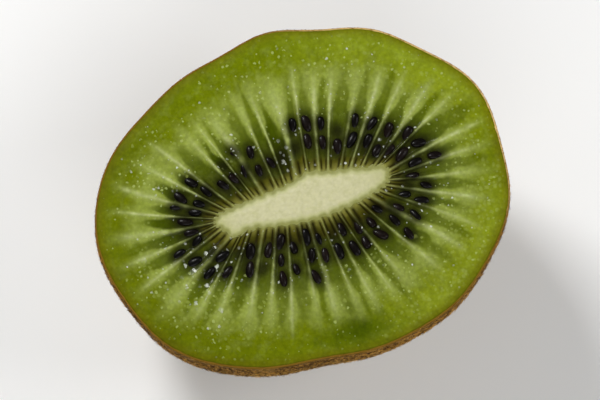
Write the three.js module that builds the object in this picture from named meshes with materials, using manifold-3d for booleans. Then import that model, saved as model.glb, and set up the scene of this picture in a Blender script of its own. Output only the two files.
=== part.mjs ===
// Half of a kiwi fruit, cut across its middle and lying on its round end with the cut face up.
// It is two solids. The fruit is the skin with its green flesh, the ribs and hollows of the cut face and the
// seeds that stand out of it. The core is the pale spindle that runs down through the flesh.
// Millimetres, +Z up. X runs along the long axis of the cut face, and the origin is on the resting plane,
// under the middle of the bounding box.
import * as THREE from "three";
import { mergeVertices } from "three/addons/utils/BufferGeometryUtils.js";
import Module from "manifold-3d";

const wasm = await Module();
wasm.setup();

const TURN = 2 * Math.PI;
const { sin, cos, abs, asin, atan2, exp, hypot, min, max, pow } = Math;

// The fruit: its cut face, and the round end below it.
const FACE_LENGTH = 52.0;
const FACE_WIDTH = 42.6;
const FACE_HEIGHT = 30.5; // from the resting plane up to the cut
const END_DEPTH = 31.1; // how deep the round end would reach if its foot were not flat
const END_SQUARENESS = 2.25; // exponent of the superellipse seen from the side: 2 is an ellipse
// Bumps of the outline: how many round the fruit, how high, and where the first one peaks in degrees.
const OUTLINE_BUMPS = [
  { count: 1, height: 0.7, peak: -59 },
  { count: 2, height: 0.44, peak: 26 },
  { count: 3, height: 0.33, peak: -41 },
  { count: 4, height: 0.15, peak: 41 },
  { count: 5, height: 0.21, peak: 16 },
  { count: 6, height: 0.1, peak: -19 },
  { count: 7, height: 0.07, peak: 23 },
  { count: 9, height: 0.09, peak: 13 },
  { count: 10, height: 0.09, peak: 17 },
  { count: 11, height: 0.14, peak: -14 },
];
// Slow lumps of the skin between the cut and the foot: a wave that winds down the fruit times a straight one.
const LUMP_HEIGHT = 0.25;
const LUMP_WINDING = 2.5;
const LUMP_STARTS = [1.1, -0.6]; // where the two waves start, in radians
const RIM_DROP = 0.2; // how far the skin's edge lies below the cut
const RIM_START = 0.9; // share of the way from the core to the skin where the face begins to drop

// The foot: the flat callus ring round the stem scar, which the half stands on.
const FOOT_INNER_RADIUS = 4.2;
const SCAR_RADIUS = 3.3;
const SCAR_DEPTH = 0.9;
const BUTTON_RADIUS = 2.3;
const BUTTON_DEPTH = 0.35; // the stem button's top, above the resting plane
const BUTTON_FLAT = 0.7; // share of its radius over which it is flat
const BUTTON_DIMPLE = 0.1; // how much deeper its middle is

// The core.
const CORE_LENGTH = 22.3;
const CORE_WIDTH = 4.7;
const CORE_DEPTH = 25.0;
const CORE_TAPER = 0.9; // exponent of its outline seen from the side: 1 is an ellipse, less is blunter
const CORE_SHIFT = new THREE.Vector2(0.06, -0.66); // its middle, from the middle of the outline
const CORE_CROWN = 0.15; // how far the core's middle stands above the cut
const CORE_BEVEL = 0.28; // share of the way in from its edge over which the core rises to that height
const CORE_SCALLOP = 0.22; // how far a wall of the flesh draws the core's edge out
const CORE_GAP = 0.3;
// Knobs and one dent of the core's uneven edge: where round it and how far each way, in shares of a turn, and
// how high.
const CORE_KNOBS = [
  { at: 0.045, spread: 0.03, height: 0.75 },
  { at: 0.13, spread: 0.07, height: 0.4 },
  { at: 0.218, spread: 0.034, height: 0.8 },
  { at: 0.36, spread: 0.08, height: -0.4 },
  { at: 0.582, spread: 0.025, height: 0.95 },
  { at: 0.77, spread: 0.1, height: 0.5 },
];

// The cut face: pale walls run out from the core, with a sunk seed chamber between each two.
const CHAMBERS = 40;
const CHAMBER_SPREAD = 0.12; // wider chambers at the core's two tips than along its sides
const CHAMBER_SINK = 0.3;
const CHAMBER_START = 0.1; // share of the way from the core to the skin where a chamber has its full depth
const CHAMBER_END = 0.62;
const CHAMBER_FADE = 0.3; // share of the way over which it runs out
// The chamber's side, in sines of the angle from the wall's middle: its top and its foot.
const CHAMBER_SIDE = [0.1, 0.8];

// The seeds.
const SEED_LENGTH = 2.1;
const SEED_WIDTH = 1.4;
const SEED_THICKNESS = 1.0;
const SEED_SMALLEST = 0.85; // size of the smallest seed, as a share of the above
const SEED_GROWTH = 0.3; // how much larger the largest is
const SEED_PROUD = 0.3; // share of its thickness that stands out of the flesh
const SEED_FIRST = 1.6; // from the core's pocket to the middle of the nearest seeds
const SEED_START = 1.4; // how much farther out the first seed of a chamber may lie
const SEED_DRIFT = 0.9; // how much farther out the seeds lie on the side of +Y
const SEED_STEP = 2.05; // the least distance between two seeds of one chamber
const SEED_SCATTER = 0.9; // how much more it may be
const SEED_LAST = 7.0; // none lies farther out than this
const SEED_ASIDE = 0.34; // breadth of the strip down a chamber where seeds lie, in chambers
const SEED_LEAN = 0.8; // between the seeds that lean farthest one way and the other, in radians
const SEED_THIRD_SHARE = 0.3; // share of the chambers that hold three seeds in a row, not two
const SEED_SHOWN_SHARE = 0.8; // share of the seeds that the cut lays bare
const SEED_DRAW = 9176;

// How finely the surfaces are cut into flat facets.
const COLUMNS_PER_CHAMBER = 3;
const COLUMNS = CHAMBERS * COLUMNS_PER_CHAMBER;
const SKIN_ROWS = 13;
const FACE_ROWS = 7;
const CORE_ROWS = 5;
const SEED_SIDES = 6;
const SEED_ROWS = 4;

/** Park and Miller's random numbers from 0 to 1, the same row of them for the same seed. */
function randomNumbers(seed) {
  let state = seed;
  return () => {
    state = (state * 16807) % 2147483647;
    return state / 2147483647;
  };
}

/** 0 below the first edge, 1 above the second, smooth between them. */
function ramp(low, high, x) {
  const share = min(1, max(0, (x - low) / (high - low)));
  return share * share * (3 - 2 * share);
}

/** The angle on the ellipses at a share of a turn round them, wider spaced at the two tips. */
function spreadAngle(turnShare) {
  const even = TURN * turnShare;
  return even + CHAMBER_SPREAD * sin(2 * even);
}

/** From the fruit's axis to its outline. bumps is how much of the outline's bumps to keep, 0 to 1. */
function outlineRadius(direction, bumps) {
  let radius = 1 / hypot(cos(direction) / (FACE_LENGTH / 2), sin(direction) / (FACE_WIDTH / 2));
  for (const { count, height, peak } of OUTLINE_BUMPS)
    radius += bumps * height * cos(count * (direction - THREE.MathUtils.degToRad(peak)));
  return radius;
}

/** A point of the skin. dip is 0 at the cut and a quarter turn at the very end of the fruit. */
function skinPoint(turnShare, dip) {
  const angle = spreadAngle(turnShare);
  const direction = atan2(FACE_WIDTH * sin(angle), FACE_LENGTH * cos(angle));
  const share = pow(max(0, cos(dip)), 2 / END_SQUARENESS);
  const depth = END_DEPTH * pow(sin(dip), 2 / END_SQUARENESS);
  const winding = sin(2 * direction + LUMP_WINDING * dip + LUMP_STARTS[0]);
  const lump = LUMP_HEIGHT * sin(2 * dip) * winding * sin(3 * direction + LUMP_STARTS[1]);
  const radius = share * outlineRadius(direction, share) + lump;
  return new THREE.Vector3(radius * cos(direction), radius * sin(direction), FACE_HEIGHT - depth);
}

/** How far the knobs and the walls of the flesh draw the core's edge out. */
function coreBulge(turnShare) {
  let bulge = CORE_SCALLOP * pow(abs(cos((CHAMBERS / 2) * TURN * turnShare)), 3);
  for (const { at, spread, height } of CORE_KNOBS)
    bulge += height * exp(-pow((turnShare - at) / spread, 2));
  return bulge;
}

/** A point of the core's edge at the cut, grown outwards by grow and drawn in to shrink times its size. */
function coreEdge(turnShare, grow, shrink) {
  const angle = spreadAngle(turnShare);
  const length = CORE_LENGTH / 2;
  const width = CORE_WIDTH / 2;
  const outward = new THREE.Vector2(cos(angle) / length, sin(angle) / width).normalize();
  const edge = new THREE.Vector2(length * cos(angle), width * sin(angle)).multiplyScalar(shrink);
  edge.addScaledVector(outward, grow + shrink * coreBulge(turnShare));
  return edge.add(CORE_SHIFT);
}

/** How far the cut face lies above or below the cut. way is 0 at the core and 1 at the skin. */
function faceRelief(turnShare, way) {
  const fromWall = abs(sin((CHAMBERS / 2) * TURN * turnShare));
  const along = ramp(0, CHAMBER_START, way) * (1 - ramp(CHAMBER_END - CHAMBER_FADE, CHAMBER_END, way));
  const shoulder = ramp(RIM_START, 1, way);
  return -CHAMBER_SINK * ramp(...CHAMBER_SIDE, fromWall) * along - RIM_DROP * shoulder * shoulder;
}

/** A point of the cut face between the core's pocket and the skin. */
function facePoint(turnShare, way) {
  const inner = coreEdge(turnShare, CORE_GAP, 1);
  const rim = skinPoint(turnShare, 0);
  return new THREE.Vector3(
    inner.x + (rim.x - inner.x) * way,
    inner.y + (rim.y - inner.y) * way,
    FACE_HEIGHT + faceRelief(turnShare, way),
  );
}

/** A point of the core's side, or of its pocket's wall where grow is more than 0. */
function coreWallPoint(turnShare, dip, grow) {
  const shrink = pow(max(0, cos(dip)), CORE_TAPER);
  const edge = coreEdge(turnShare, grow * shrink, shrink);
  return new THREE.Vector3(edge.x, edge.y, FACE_HEIGHT - (CORE_DEPTH + grow) * sin(dip));
}

/** A ring round the fruit's axis. */
function ringPoint(turnShare, radius, height) {
  const angle = spreadAngle(turnShare);
  return new THREE.Vector3(radius * cos(angle), radius * sin(angle), height);
}

/** A closed surface through stations, each a function from a share of a turn to a point. The first and the
 * last station are single points, and the stations run up the outside and back down the inside. */
function sculptedLathe(stations, columns) {
  const last = stations.length - 1;
  const profile = stations.map((_, row) => new THREE.Vector2(row % last === 0 ? 0 : 1, row));
  const geometry = new THREE.LatheGeometry(profile, columns);
  const position = geometry.getAttribute("position");
  for (let column = 0; column <= columns; column++) {
    stations.forEach((station, row) => {
      const point = station((column % columns) / columns);
      position.setXYZ(column * stations.length + row, point.x, point.y, point.z);
    });
  }
  return geometry;
}

/** The solid inside a closed three.js geometry. */
function solidOf(geometry) {
  const bare = geometry.clone();
  bare.deleteAttribute("normal");
  bare.deleteAttribute("uv");
  const merged = mergeVertices(bare, 1e-4);
  const corners = merged.getIndex().array;
  const kept = [];
  for (let i = 0; i < corners.length; i += 3) {
    const [a, b, c] = corners.slice(i, i + 3);
    if (a !== b && b !== c && c !== a) kept.push(a, b, c);
  }
  const vertProperties = new Float32Array(merged.getAttribute("position").array);
  return new wasm.Manifold(new wasm.Mesh({ numProp: 3, vertProperties, triVerts: new Uint32Array(kept) }));
}

/** The three.js geometry of a solid. */
function geometryOf(solid) {
  const { vertProperties, triVerts } = solid.getMesh();
  const geometry = new THREE.BufferGeometry();
  geometry.setAttribute("position", new THREE.BufferAttribute(vertProperties, 3));
  geometry.setIndex(new THREE.BufferAttribute(triVerts, 1));
  geometry.computeVertexNormals();
  return geometry;
}

/** From 0 to 1 in a number of equal steps, without the first of them. */
function steps(count) {
  return Array.from({ length: count }, (_, i) => (i + 1) / count);
}

/** The fruit without its seeds, with the pocket that the core lies in. */
function makeBody() {
  const footDip = asin(pow(FACE_HEIGHT / END_DEPTH, END_SQUARENESS / 2));
  const foot = [
    () => new THREE.Vector3(0, 0, BUTTON_DEPTH + BUTTON_DIMPLE),
    (t) => ringPoint(t, BUTTON_RADIUS * BUTTON_FLAT, BUTTON_DEPTH),
    (t) => ringPoint(t, BUTTON_RADIUS, SCAR_DEPTH),
    (t) => ringPoint(t, SCAR_RADIUS, SCAR_DEPTH),
    (t) => ringPoint(t, FOOT_INNER_RADIUS, 0),
    (t) => skinPoint(t, footDip).setZ(0),
  ];
  const skin = steps(SKIN_ROWS - 1).map((share) => (t) => skinPoint(t, footDip * (1 - share)));
  skin[skin.length - 1] = (t) => skinPoint(t, 0).setZ(FACE_HEIGHT - RIM_DROP);
  const face = steps(FACE_ROWS).map((share) => (t) => facePoint(t, 1 - share));
  const pocket = steps(CORE_ROWS).map((share) => (t) => coreWallPoint(t, (share * TURN) / 4, CORE_GAP));
  return solidOf(sculptedLathe([...foot, ...skin, ...face, ...pocket], COLUMNS));
}

/** The core, from its tip near the stem up to its low crown at the cut. */
function makeCore() {
  const wall = steps(CORE_ROWS).map((share) => (t) => coreWallPoint(t, ((1 - share) * TURN) / 4, 0));
  const stations = [
    (t) => coreWallPoint(t, TURN / 4, 0),
    ...wall,
    (t) => {
      const inside = coreEdge(t, 0, 1 - CORE_BEVEL);
      return new THREE.Vector3(inside.x, inside.y, FACE_HEIGHT + CORE_CROWN);
    },
    () => new THREE.Vector3(CORE_SHIFT.x, CORE_SHIFT.y, FACE_HEIGHT + CORE_CROWN),
  ];
  return solidOf(sculptedLathe(stations, COLUMNS));
}

/** Where the seeds lie: two or three in a row down each chamber, some of them left out. */
function seedPlaces() {
  const random = randomNumbers(SEED_DRAW);
  const places = [];
  for (let chamber = 0; chamber < CHAMBERS; chamber++) {
    const rows = random() < SEED_THIRD_SHARE ? 3 : 2;
    const drift = (SEED_DRIFT * (1 + sin(TURN * (chamber / CHAMBERS)))) / 2;
    let reach = SEED_FIRST + drift + SEED_START * random();
    for (let row = 0; row < rows; row++) {
      const aside = (random() - 0.5) * SEED_ASIDE;
      const turnShare = (chamber + 0.5 + aside) / CHAMBERS;
      const inner = facePoint(turnShare, 0);
      const rim = facePoint(turnShare, 1);
      const way = reach / hypot(rim.x - inner.x, rim.y - inner.y);
      const lean = (random() - 0.5) * SEED_LEAN;
      const angle = atan2(rim.y - inner.y, rim.x - inner.x) + lean;
      const size = SEED_SMALLEST + SEED_GROWTH * random();
      const shown = random() < SEED_SHOWN_SHARE && reach < SEED_LAST;
      if (shown) places.push({ at: facePoint(turnShare, way), angle, size });
      reach += SEED_STEP + SEED_SCATTER * random();
    }
  }
  return places;
}

/** One seed, lying flat and sunk in the flesh. */
function makeSeed({ at, angle, size }) {
  const seed = new THREE.SphereGeometry(0.5, SEED_SIDES, SEED_ROWS);
  seed.rotateZ(TURN / 4);
  seed.scale(SEED_LENGTH * size, SEED_WIDTH * size, SEED_THICKNESS * size);
  seed.rotateZ(angle);
  seed.translate(at.x, at.y, at.z + (SEED_PROUD - 0.5) * SEED_THICKNESS);
  return solidOf(seed);
}

/** A named mesh of one solid. */
function makeMesh(name, solid, look) {
  const mesh = new THREE.Mesh(geometryOf(solid), new THREE.MeshStandardMaterial(look));
  mesh.name = name;
  return mesh;
}

const fruit = wasm.Manifold.union([makeBody(), ...seedPlaces().map(makeSeed)]);
const half = new THREE.Group();
half.name = "kiwi_half";
half.add(
  makeMesh("fruit_half", fruit, { color: 0x8a9c3c, roughness: 0.35, metalness: 0 }),
  makeMesh("core", makeCore(), { color: 0xc9c69a, roughness: 0.5, metalness: 0 }),
);

const middle = new THREE.Box3().setFromObject(half).getCenter(new THREE.Vector3());
half.position.set(-middle.x, -middle.y, 0);

export default half;
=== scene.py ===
"""Half of a kiwi fruit, cut across its middle and lying on its round end with the cut face up.

The green flesh, the pale core, the skin, its fuzz and the seeds are separate meshes. All of them follow one
FruitForm, which gives the fruit's outline, its round end and the seed chambers of the cut face.
Lengths are in millimetres until a mesh is made. A turn share runs from 0 to 1 once round the fruit, and a
dip runs from 0 at the cut to a quarter turn at the end of the fruit.
"""

import logging
import math
from abc import ABC, abstractmethod
from dataclasses import dataclass, field
from enum import Enum
from functools import reduce
from typing import ClassVar

import bpy
import numpy as np
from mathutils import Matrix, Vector


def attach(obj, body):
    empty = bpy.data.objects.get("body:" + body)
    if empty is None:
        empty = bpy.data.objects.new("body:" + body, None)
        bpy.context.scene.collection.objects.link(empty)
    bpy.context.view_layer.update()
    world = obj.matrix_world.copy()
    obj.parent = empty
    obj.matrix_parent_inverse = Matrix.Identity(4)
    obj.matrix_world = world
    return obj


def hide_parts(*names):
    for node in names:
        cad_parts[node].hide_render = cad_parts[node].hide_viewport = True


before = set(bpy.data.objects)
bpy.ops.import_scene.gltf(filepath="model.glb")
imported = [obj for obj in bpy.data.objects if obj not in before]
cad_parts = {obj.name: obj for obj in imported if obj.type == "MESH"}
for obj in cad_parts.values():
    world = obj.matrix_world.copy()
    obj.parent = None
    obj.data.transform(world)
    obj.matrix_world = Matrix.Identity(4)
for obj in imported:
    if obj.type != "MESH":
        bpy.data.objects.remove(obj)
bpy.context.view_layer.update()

LOG = logging.getLogger("kiwi_half")
BODY = "root"
MILLIMETRE = 0.001
TURN = 2 * math.pi
HIGH_SKIN = (0.016, 0.028)  # between these heights, in metres, the skin and its fuzz lose some red
FAR = 20.0  # the cut face's marks keep distances as shares of this many millimetres
Socket = bpy.types.NodeSocket
Paint = tuple[float, float, float, float]
Marks = dict[str, np.ndarray]
Corners = list[tuple[int, ...]]


class Node(Enum):
    """The solids that the meshes stand for."""

    FRUIT = "fruit_half"
    CORE = "core"


class Slot(Enum):
    """The record's material slots."""

    FLESH = "flesh"
    CORE = "core"
    SKIN = "skin"
    SEED = "seed"


class Sum(Enum):
    """What a Math node makes of two numbers, or of the first alone."""

    PLUS = "ADD"
    MINUS = "SUBTRACT"
    TIMES = "MULTIPLY"
    OVER = "DIVIDE"
    LARGER = "MAXIMUM"
    BELOW = "LESS_THAN"
    UNSIGNED = "ABSOLUTE"
    GROWTH = "EXPONENT"
    ANGLE = "ARCTAN2"


class Mix(Enum):
    """How a Mix node lays one colour over another."""

    COVER = "MIX"
    TINT = "MULTIPLY"


def paint(red: int, green: int, blue: int) -> Paint:
    """Mixes a paint from three screen values, as the linear colour that a shader takes.

    Args:
        red: how red, from 0 to 255.
        green: how green.
        blue: how blue.

    Returns:
        The linear colour, opaque.
    """
    screen = [value / 255 for value in (red, green, blue)]
    light = [v / 12.92 if v <= 0.04045 else ((v + 0.055) / 1.055) ** 2.4 for v in screen]
    return (*light, 1.0)


def ramp(low: float, high: float, x: np.ndarray) -> np.ndarray:
    """0 below the first edge, 1 above the second, smooth between them."""
    share = np.clip((x - low) / (high - low), 0, 1)
    return share * share * (3 - 2 * share)


class Dice:
    """Park and Miller's random numbers from 0 to 1, which any language draws alike."""

    def __init__(self, seed: int) -> None:
        """Starts the row of draws at its seed."""
        self.state = seed

    def roll(self) -> float:
        """The next number of the row."""
        self.state = (self.state * 16807) % 2147483647
        return self.state / 2147483647


@dataclass(frozen=True)
class Waves:
    """A smooth uneven field: sines of random directions and phases, all of about one length."""

    seed: int
    length: float
    count: int = 20
    spread: float = 0.45

    def at(self, points: np.ndarray) -> np.ndarray:
        """The field at some points.

        Args:
            points: coordinates along the last axis, any number of them.

        Returns:
            One number for each point, mostly between -2 and 2 and evenly about 0.
        """
        draw = np.random.default_rng(self.seed)
        total = np.zeros(points.shape[:-1])
        for _ in range(self.count):
            direction = draw.normal(size=points.shape[-1])
            length = self.length * (1 + self.spread * draw.uniform(-1, 1))
            direction *= TURN / (length * np.linalg.norm(direction))
            total += np.sin(points @ direction + draw.uniform(0, TURN))
        return total * math.sqrt(2 / self.count)


@dataclass(frozen=True)
class Bump:
    """One slow wave of the outline: how many go round, how high, and where the first peaks in degrees."""

    count: int
    height: float
    peak: float


@dataclass(frozen=True)
class Knob:
    """One swelling of the core's edge: where and how far each way, in turn shares, and how high."""

    at: float
    spread: float
    height: float


@dataclass(frozen=True)
class SeedPlace:
    """Where one seed lies: its turn share, way and reach out, heading, size and whether it shows."""

    turn: float
    way: float
    reach: float
    heading: float
    size: float
    shown: bool


@dataclass
class FruitForm:
    """The shape that all the meshes share, with the same sizes as the solids."""

    face_length: float = 52.0
    face_width: float = 42.6
    face_height: float = 30.5
    end_depth: float = 31.1
    end_squareness: float = 2.25
    bumps: tuple[Bump, ...] = (
        Bump(1, 0.7, -59),
        Bump(2, 0.44, 26),
        Bump(3, 0.33, -41),
        Bump(4, 0.15, 41),
        Bump(5, 0.21, 16),
        Bump(6, 0.1, -19),
        Bump(7, 0.07, 23),
        Bump(9, 0.09, 13),
        Bump(10, 0.09, 17),
        Bump(11, 0.14, -14),
    )
    lump_height: float = 0.25
    lump_winding: float = 2.5
    lump_starts: tuple[float, float] = (1.1, -0.6)
    rim_drop: float = 0.2
    rim_start: float = 0.9

    foot_inner_radius: float = 4.2
    scar_radius: float = 3.3
    scar_depth: float = 0.9
    button_radius: float = 2.3
    button_depth: float = 0.35

    core_length: float = 22.3
    core_width: float = 4.7
    core_depth: float = 25.0
    core_taper: float = 0.9
    core_shift: tuple[float, float] = (0.06, -0.66)
    core_crown: float = 0.15
    core_scallop: float = 0.22
    core_gap: float = 0.3
    core_knobs: tuple[Knob, ...] = (
        Knob(0.045, 0.03, 0.75),
        Knob(0.13, 0.07, 0.4),
        Knob(0.218, 0.034, 0.8),
        Knob(0.36, 0.08, -0.4),
        Knob(0.582, 0.025, 0.95),
        Knob(0.77, 0.1, 0.5),
    )

    chambers: int = 40
    chamber_spread: float = 0.12
    chamber_sink: float = 0.3
    chamber_start: float = 0.1
    chamber_end: float = 0.62
    chamber_fade: float = 0.3
    chamber_side: tuple[float, float] = (0.1, 0.8)

    seed_length: float = 2.1
    seed_width: float = 1.4
    seed_thickness: float = 1.0
    seed_smallest: float = 0.85
    seed_growth: float = 0.3
    seed_proud: float = 0.3
    seed_first: float = 1.6
    seed_start: float = 1.4
    seed_drift: float = 0.9
    seed_step: float = 2.05
    seed_scatter: float = 0.9
    seed_last: float = 7.0
    seed_aside: float = 0.34
    seed_lean: float = 0.8
    seed_third_share: float = 0.3
    seed_shown_share: float = 0.8
    seed_draw: int = 9176

    place: np.ndarray = field(default_factory=lambda: np.zeros(3))

    def settle(self) -> None:
        """Moves the form's origin under the middle of its own box, where the solids have theirs."""
        rim = self.skin(np.linspace(0, 1, 2000), 0.0)
        self.place = -np.append((rim.min(axis=0) + rim.max(axis=0))[:2] / 2, 0)

    def spread(self, turn: np.ndarray) -> np.ndarray:
        """The angle on the ellipses at a turn share, wider spaced at the two tips."""
        even = TURN * turn
        return even + self.chamber_spread * np.sin(2 * even)

    def outline(self, direction: np.ndarray, kept: float) -> np.ndarray:
        """From the fruit's axis to its outline.

        Args:
            direction: angles round the axis.
            kept: how much of the outline's bumps to keep, from 0 to 1.

        Returns:
            One radius for each direction.
        """
        radius = 1 / np.hypot(
            np.cos(direction) / (self.face_length / 2), np.sin(direction) / (self.face_width / 2)
        )
        for bump in self.bumps:
            wave = np.cos(bump.count * (direction - math.radians(bump.peak)))
            radius = radius + kept * bump.height * wave
        return radius

    def skin(self, turn: np.ndarray, dip: float, inset: float = 0.0) -> np.ndarray:
        """Points of the skin's outside, or of a bowl that lies inside it.

        Args:
            turn: turn shares.
            dip: how far down the fruit, one number or one for each turn share.
            inset: how far inside the skin.

        Returns:
            One point for each turn share.
        """
        angle = self.spread(turn)
        direction = np.arctan2(self.face_width * np.sin(angle), self.face_length * np.cos(angle))
        share = np.maximum(0, np.cos(dip)) ** (2 / self.end_squareness)
        depth = self.end_depth * np.sin(dip) ** (2 / self.end_squareness)
        winding = np.sin(2 * direction + self.lump_winding * dip + self.lump_starts[0])
        lump = self.lump_height * np.sin(2 * dip) * winding * np.sin(3 * direction + self.lump_starts[1])
        radius = share * self.outline(direction, share) + lump
        kept = 1 - inset / (self.face_width / 2)
        radius = radius * kept
        height = self.face_height - depth * kept
        flat = np.stack([radius * np.cos(direction), radius * np.sin(direction)], axis=-1)
        heights = np.broadcast_to(height, radius.shape)[..., None]
        return np.concatenate([flat, heights], axis=-1) + self.place

    def foot_dip(self) -> float:
        """How far down the round end meets its flat foot."""
        return math.asin((self.face_height / self.end_depth) ** (self.end_squareness / 2))

    def ring(self, turn: np.ndarray, radius: float, height: float) -> np.ndarray:
        """A round ring about the fruit's axis.

        Args:
            turn: turn shares.
            radius: of the ring.
            height: above the resting plane.

        Returns:
            One point for each turn share.
        """
        angle = self.spread(turn)
        level = np.full_like(angle, height)
        return np.stack([radius * np.cos(angle), radius * np.sin(angle), level], axis=-1) + self.place

    def core_bulge(self, turn: np.ndarray) -> np.ndarray:
        """How far the knobs and the walls of the flesh draw the core's edge out.

        Args:
            turn: turn shares.

        Returns:
            One distance for each of them.
        """
        bulge = self.core_scallop * np.abs(np.cos(self.chambers / 2 * TURN * turn)) ** 3
        for knob in self.core_knobs:
            bulge = bulge + knob.height * np.exp(-(((turn - knob.at) / knob.spread) ** 2))
        return bulge

    def core_edge(
        self, turn: np.ndarray, grow: np.ndarray | float, shrink: np.ndarray | float
    ) -> np.ndarray:
        """Points of the core's edge, seen from above.

        Args:
            turn: turn shares.
            grow: how far outside the core.
            shrink: the size of the ellipse, as a share of the core's at the cut.

        Returns:
            One flat point for each turn share.
        """
        angle = self.spread(turn)
        length, width = self.core_length / 2, self.core_width / 2
        outward = np.stack([np.cos(angle) / length, np.sin(angle) / width], axis=-1)
        outward /= np.linalg.norm(outward, axis=-1, keepdims=True)
        edge = np.stack([length * np.cos(angle), width * np.sin(angle)], axis=-1)
        reach = grow + shrink * self.core_bulge(turn)
        flat = edge * np.asarray(shrink)[..., None] + outward * reach[..., None]
        return flat + self.core_shift + self.place[:2]

    def core_wall(self, turn: np.ndarray, dip: float, grow: float) -> np.ndarray:
        """Points of the core's side, or of a surface round it where grow is more than 0.

        Args:
            turn: turn shares.
            dip: how far down the core.
            grow: how far outside it.

        Returns:
            One point for each turn share.
        """
        shrink = max(0.0, math.cos(dip)) ** self.core_taper
        flat = self.core_edge(turn, grow * shrink, shrink)
        height = self.face_height - (self.core_depth + grow) * math.sin(dip)
        return np.concatenate([flat, np.full((*flat.shape[:-1], 1), height)], axis=-1)

    def relief(self, chamber: np.ndarray, way: np.ndarray) -> np.ndarray:
        """How far the cut face lies above or below the cut.

        Args:
            chamber: how many chambers round the fruit, with a wall at each whole number.
            way: shares of the way from the core to the skin.

        Returns:
            One height for each pair of them.
        """
        side = ramp(*self.chamber_side, np.abs(np.sin(math.pi * chamber)))
        fade = ramp(self.chamber_end - self.chamber_fade, self.chamber_end, way)
        along = ramp(0, self.chamber_start, way) * (1 - fade)
        return -self.chamber_sink * side * along - self.rim_drop * ramp(self.rim_start, 1, way) ** 2

    def face(
        self, turn: np.ndarray, way: np.ndarray, gap: float, chamber: np.ndarray | None = None
    ) -> np.ndarray:
        """Points of the cut face, before their fine relief.

        Args:
            turn: turn shares.
            way: shares of the way out from the core.
            gap: how far outside the core the face begins.
            chamber: how many chambers round, where the walls stray from the straight.

        Returns:
            One point for each pair of them.
        """
        inner = self.core_edge(turn, gap, 1.0)
        rim = self.skin(turn, 0.0)[..., :2]
        flat = inner + (rim - inner) * np.asarray(way)[..., None]
        straight = self.chambers * turn
        height = self.face_height + self.relief(straight if chamber is None else chamber, way)
        return np.concatenate([flat, height[..., None]], axis=-1)

    def seed_places(self) -> list[SeedPlace]:
        """Lays two or three seeds in a row down each chamber, in the solids' own order of draws.

        Returns:
            The places of all the seeds, shown or not.
        """
        dice = Dice(self.seed_draw)
        places = []
        for chamber in range(self.chambers):
            rows = 3 if dice.roll() < self.seed_third_share else 2
            drift = self.seed_drift * (1 + math.sin(TURN * chamber / self.chambers)) / 2
            reach = self.seed_first + drift + self.seed_start * dice.roll()
            for _ in range(rows):
                turn = np.array((chamber + 0.5 + (dice.roll() - 0.5) * self.seed_aside) / self.chambers)
                inner, rim = (self.face(turn, np.array(way), self.core_gap) for way in (0.0, 1.0))
                across = rim - inner
                way = reach / math.hypot(across[0], across[1])
                heading = math.atan2(across[1], across[0]) + (dice.roll() - 0.5) * self.seed_lean
                size = self.seed_smallest + self.seed_growth * dice.roll()
                shown = dice.roll() < self.seed_shown_share and reach < self.seed_last
                places.append(SeedPlace(float(turn), way, reach, heading, size, shown))
                reach += self.seed_step + self.seed_scatter * dice.roll()
        return places


@dataclass
class RingShell:
    """A closed surface of rings round an axis, from the first point up and over to the last one."""

    first: np.ndarray
    rings: np.ndarray
    last: np.ndarray
    marks: Marks = field(default_factory=dict)

    def points(self) -> np.ndarray:
        """All the vertices: the first point, the rings one after another, the last point."""
        return np.concatenate([self.first[None], self.rings.reshape(-1, 3), self.last[None]])

    def faces(self) -> Corners:
        """The quads between the rings and the triangles at both ends, all facing out.

        Returns:
            The vertices of each face.
        """
        rows, columns, _ = self.rings.shape
        here = np.arange(columns)
        beyond = (here + 1) % columns
        start = 1 + columns * np.arange(rows - 1)[:, None]
        quads = np.stack(
            [start + here, start + beyond, start + beyond + columns, start + here + columns], axis=-1
        ).reshape(-1, 4)
        top = 1 + columns * (rows - 1)
        end = 1 + columns * rows
        under = np.stack([np.zeros_like(here), 1 + beyond, 1 + here], axis=-1)
        over = np.stack([top + here, top + beyond, np.full_like(here, end)], axis=-1)
        return [*map(tuple, under.tolist()), *map(tuple, quads.tolist()), *map(tuple, over.tolist())]

    def mesh(self, name: str) -> bpy.types.Object:
        """The surface as an object, with its marks as attributes of the vertices.

        Args:
            name: the object's name.

        Returns:
            The object, linked to the scene.
        """
        marks = {
            mark: np.concatenate([rows[0, :1], rows.reshape(-1, *rows.shape[2:]), rows[-1, :1]])
            for mark, rows in self.marks.items()
        }
        return make_object(name, self.points(), self.faces(), marks)


def make_object(
    name: str, points: np.ndarray, faces: Corners, marks: Marks
) -> bpy.types.Object:
    """Makes a smooth mesh object in metres.

    Args:
        name: the object's name.
        points: its vertices, in millimetres.
        faces: the vertices of each face.
        marks: one number or three for each vertex, by the name of their attribute.

    Returns:
        The object, linked to the scene.
    """
    mesh = bpy.data.meshes.new(name)
    mesh.from_pydata((points * MILLIMETRE).tolist(), [], faces)
    for mark, values in marks.items():
        kind, entry = ("FLOAT", "value") if values.ndim == 1 else ("FLOAT_VECTOR", "vector")
        attribute = mesh.attributes.new(mark, kind, "POINT")
        attribute.data.foreach_set(entry, np.ascontiguousarray(values, dtype=np.float32).reshape(-1))
    mesh.polygons.foreach_set("use_smooth", np.ones(len(mesh.polygons), dtype=bool))
    mesh.validate()
    mesh.update()
    made = bpy.data.objects.new(name, mesh)
    bpy.context.scene.collection.objects.link(made)
    return made


@dataclass(frozen=True)
class Grain:
    """One cloudy noise of a finish."""

    size: float  # of its largest blots, in millimetres
    detail: float = 2.0  # how many finer layers it has
    roughness: float = 0.5  # how strong those are
    distortion: float = 0.0  # how far it is stirred
    seed: float = 0.0  # picks another piece of the same noise


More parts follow.
